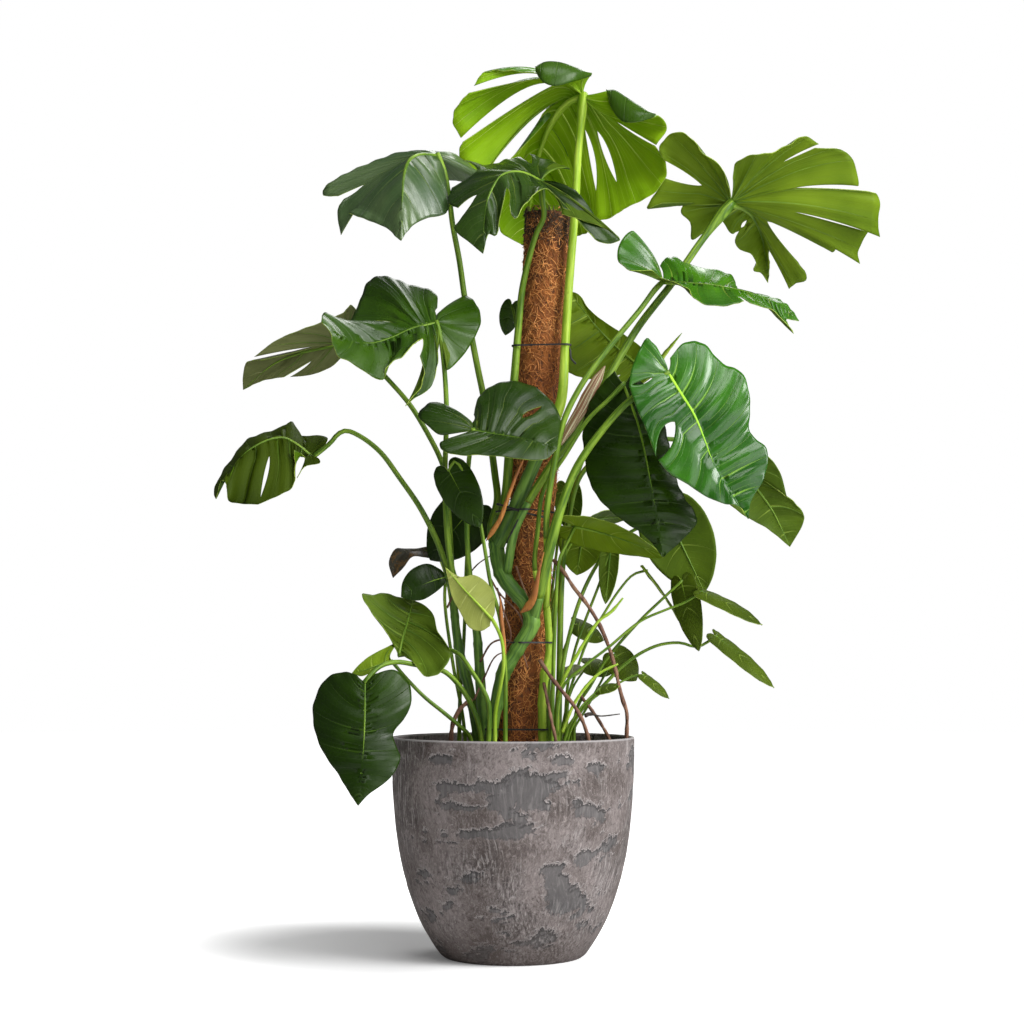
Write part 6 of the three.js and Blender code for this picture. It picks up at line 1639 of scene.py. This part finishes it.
def make_fibres(name, seed, count, low, high, lengths, stand, lean, finish):
    """Coir fibres: thin three-sided strands that start on the sleeve, bend in an arc along it and
    stand off it at their ends. Their places, leans and lengths are drawn from one seeded series."""
    rng = np.random.default_rng(seed)
    _, length, *_ = pole_axes()
    steps = np.linspace(0, 1, FIBRE_STEPS)[None, :]
    start = rng.uniform(low, high, (count, 1)) * length
    turn = rng.uniform(0, 2 * math.pi, (count, 1))
    size = rng.uniform(*lengths, (count, 1))
    way = rng.normal(0, lean, (count, 1)) + math.pi / 2
    bend = rng.normal(0, 2.6, (count, 1))
    heading = way + bend * (steps - 0.5)
    rise = np.cumsum(np.sin(heading), axis=1) / FIBRE_STEPS * size
    run = np.cumsum(np.cos(heading), axis=1) / FIBRE_STEPS * size
    height = np.minimum(start + rise, length + 6)
    angle = turn + run / POLE_RADIUS
    lift = 0.4 + stand * np.abs(rng.normal(0, 1, (count, 1))) * (2 * steps - 1) ** 2
    radius = pole_skin(np.minimum(height, length), angle) + lift
    spine = on_pole(height, angle, radius)
    ahead = unit(np.gradient(spine, axis=1))
    out = unit(np.cross(ahead, np.array([0.3, 0.2, 1.0])))
    across = np.cross(ahead, out)
    thick = rng.uniform(0.3, 0.85, (count, 1)) * (1 - 0.6 * steps**2)
    corner = turns(FIBRE_SIDES)
    ring = out[..., None, :] * np.cos(corner)[:, None] + across[..., None, :] * np.sin(corner)[:, None]
    rings = spine[:, :, None] + ring * thick[..., None, None]
    ends = np.repeat(spine[:, [0, -1], None], FIBRE_SIDES, axis=2)
    rings = np.concatenate([ends[:, :1], rings, ends[:, 1:]], axis=1)
    index = np.arange(rings.size // 3).reshape(rings.shape[:3])
    step = np.roll(index, -1, axis=2)
    quads = np.stack([index[:, :-1], step[:, :-1], step[:, 1:], index[:, 1:]], -1).reshape(-1, 4)
    shape = Shape()
    shape.points, shape.faces = [rings.reshape(-1, 3)], [quads]
    shape.veins, shape.spread = [np.zeros((index.size, 2))], [np.zeros(index.size)]
    shape.finish = [np.zeros(len(quads), int)]
    piece(name, shape.mesh(name), [finish], "coir")


def make_strap(name, strap, finish, slot):
    """A dry sheath on a route picked on the photograph: its section is a lens, as
    wide across as its table says at each share of the way and wrapped back at its
    sides, with both ends closed to a point."""
    route = seen(strap["route"])
    shares = np.linspace(0, 1, SHEATH_STEPS)
    places, ahead = along(route, shares)
    across = unit(np.cross(ahead, np.array(strap["faces"], float)))
    out = np.cross(across, ahead)
    wide = tapered(strap["widths"], shares)[:, None] / 2
    turn = turns(SHEATH_SIDES)[None, :]
    side = across[:, None] * (wide * np.cos(turn))[..., None]
    thick = np.minimum(strap["thick"], wide)
    high = thick * np.sin(turn) - strap["hug"] * wide * np.cos(turn) ** 2
    rings = closed_ends(places[:, None] + side + out[:, None] * high[..., None], places)
    shape = Shape()
    veins = np.stack(np.broadcast_arrays(np.cos(turn), np.linspace(0, 1, len(rings))[:, None]), -1)
    shape.grid(rings, around=True, veins=veins)
    mesh = shape.mesh(name)
    turned_out(mesh)
    piece(name, mesh, [finish], slot)


def turned_out(mesh):
    """A closed mesh's faces all turned outwards."""
    work = bmesh.new()
    work.from_mesh(mesh)
    bmesh.ops.recalc_face_normals(work, faces=work.faces)
    work.to_mesh(mesh)
    work.free()


def make_cord(name, route, radii, finish, slot):
    """A thin round stem, root or wire through picked points, its thickness read
    along [share, radius] pairs and made uneven by two slow waves."""
    route = seen(route)
    shares = np.linspace(0, 1, max(16, round(curve_length(route) / CORD_STEP)))
    places, ahead = along(route, shares)
    uneven = 1 + 0.08 * np.sin(shares * 37) + 0.06 * np.sin(shares * 91)
    shape = Shape()
    tube(shape, places, ahead, tapered(radii, shares) * uneven, CORD_SIDES)
    piece(name, shape.mesh(name), [finish], slot)


def make_flap(name, flap):
    """A folded part of a blade: straight lines between an upper and a lower edge,
    bowed towards the front by half a sine, with the blade's thickness."""
    share = np.linspace(0, 1, FOLD_COLUMNS)
    upper, lower = (spline(seen(flap[edge]), share) for edge in ("upper", "lower"))
    s = np.linspace(0, 1, FOLD_ROWS)[None, :, None]
    points = upper[:, None] * (1 - s) + lower[:, None] * s
    points = points + np.array([0, -1, 0.3]) * flap["bow"] * np.sin(math.pi * s)
    veins = np.stack(np.broadcast_arrays(share[:, None] * FOLD_VEINS, s[..., 0]), -1)
    shape = Shape()
    shape.grid(points, veins=veins, spread=vein_spacing(points, veins))
    finishes = LOOKS[flap["look"]][:RIB]
    piece(name, thickened(shape.mesh(name), finishes), finishes, "leaf")


def make_studio():
    """A round pale floor just under the pot, soft lamps, and surroundings that light
    the plant little and look white."""
    ring = np.concatenate([np.linspace(0, 1200, 25), np.linspace(1500, FLOOR_RADIUS, 20)])[:, None]
    shape = Shape()
    shape.grid(round_axis(ring, turns(96)[None, :], -0.3), around=True)
    floor = bpy.data.objects.new("floor", shape.mesh("floor"))
    bpy.context.scene.collection.objects.link(floor)
    floor.data.materials.append(paper_finish())
    world = bpy.data.worlds.new("studio")
    bpy.context.scene.world = world
    world.use_nodes = True
    tree = world.node_tree
    seen_by_camera = add(tree, "ShaderNodeLightPath").outputs["Is Camera Ray"]
    background = tree.nodes["Background"]
    background.inputs[0].default_value = (1, 1, 1, 1)
    tree.links.new(fade(tree, seen_by_camera, 0.0, 1.0, 0.15, 1.0), background.inputs[1])
    bpy.context.scene.view_settings.view_transform = "Standard"
    for name, (place, size, power, target) in LAMPS.items():
        lamp(name, place, size, power, target)


def paper_finish():
    """The white paper: matt, and to the camera it also shines, except behind the
    pot's left side, so that the shadow there stays and the rest is white."""
    finish, tree, place, shader = finish_named("white_paper")
    give(tree, shader, Base_Color=(0.85, 0.85, 0.85, 1), Roughness=0.9, Specular_IOR_Level=0.1)
    away = add(tree, "ShaderNodeVectorMath", {0: place, 1: SHADOW_MIDDLE}, operation="DISTANCE")
    shine = fade(tree, away.outputs["Value"], 0.15, 0.48, 0.08, 1.0)
    seen_by_camera = add(tree, "ShaderNodeLightPath").outputs["Is Camera Ray"]
    give(tree, shader, Emission_Color=(1, 1, 1, 1), Emission_Strength=times(tree, shine, seen_by_camera))
    return finish


def lamp(name, place, size, power, target):
    """A soft rectangular lamp at a place, turned to a target. Sizes and places in mm, power in watts."""
    light = bpy.data.lights.new(name, "AREA")
    light.shape = "RECTANGLE"
    light.size, light.size_y = size[0] * MM, size[1] * MM
    light.energy = power
    body = bpy.data.objects.new(name, light)
    bpy.context.scene.collection.objects.link(body)
    body.location = [v * MM for v in place]
    ahead = Vector([target[k] - place[k] for k in range(3)])
    body.rotation_euler = ahead.to_track_quat("-Z", "Y").to_euler()


def make_camera():
    """The camera where the photograph was taken from, looking up by its pitch."""
    view = bpy.data.cameras.new("camera")
    view.lens = LENS
    view.sensor_width = SENSOR_WIDTH
    view.clip_end = 100
    body = bpy.data.objects.new("camera", view)
    bpy.context.scene.collection.objects.link(body)
    body.location = (CAMERA_SIDE_STEP * MM, CAMERA_PLACE[1] * MM, CAMERA_PLACE[2] * MM)
    body.rotation_euler = (math.pi / 2 + CAMERA_PITCH, 0, 0)
    bpy.context.scene.camera = body


def dress(name, finish):
    """One finish for a CAD node that stays in sight as it is."""
    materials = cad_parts[name].data.materials
    materials.clear()
    materials.append(finish)


make_camera()
make_studio()
for name, leaf in LEAVES.items():
    make_leaf(name, leaf)
for name, vine in VINES.items():
    make_vine(name, vine)
for name, root in ROOTS.items():
    make_root(name, root)
make_pot()
make_soil()
make_coir()
for name, row in FIBRES.items():
    make_fibres(name, *row, FIBRE_DARK if name == "fibres_top" else FIBRE)
for name, strap in STRAPS.items():
    make_strap(name, strap, STRIPED if name == "sheath_striped" else SHEATH, "vine")
for name, stub in STUBS.items():
    make_cord(name, stub["route"], stub["radii"], PALE_STALK, "leaf")
make_cord("twig", TWIG["route"], TWIG["radii"], DRY_WOOD, "root")
for name, route in ROOTLETS.items():
    make_cord(name, route, ROOTLET_RADII, ROOT_BARK, "root")
for name, route in TIE_ENDS.items():
    make_cord(name, route, TIE_RADII, TIE_SKIN, "tie")
for name, flap in FLAPS.items():
    make_flap(name, flap)
for name in ("tie_top", "tie_middle", "tie_lower", "tie_bottom"):
    dress(name, TIE_SKIN)
dress("pole_core", CORE_WOOD)
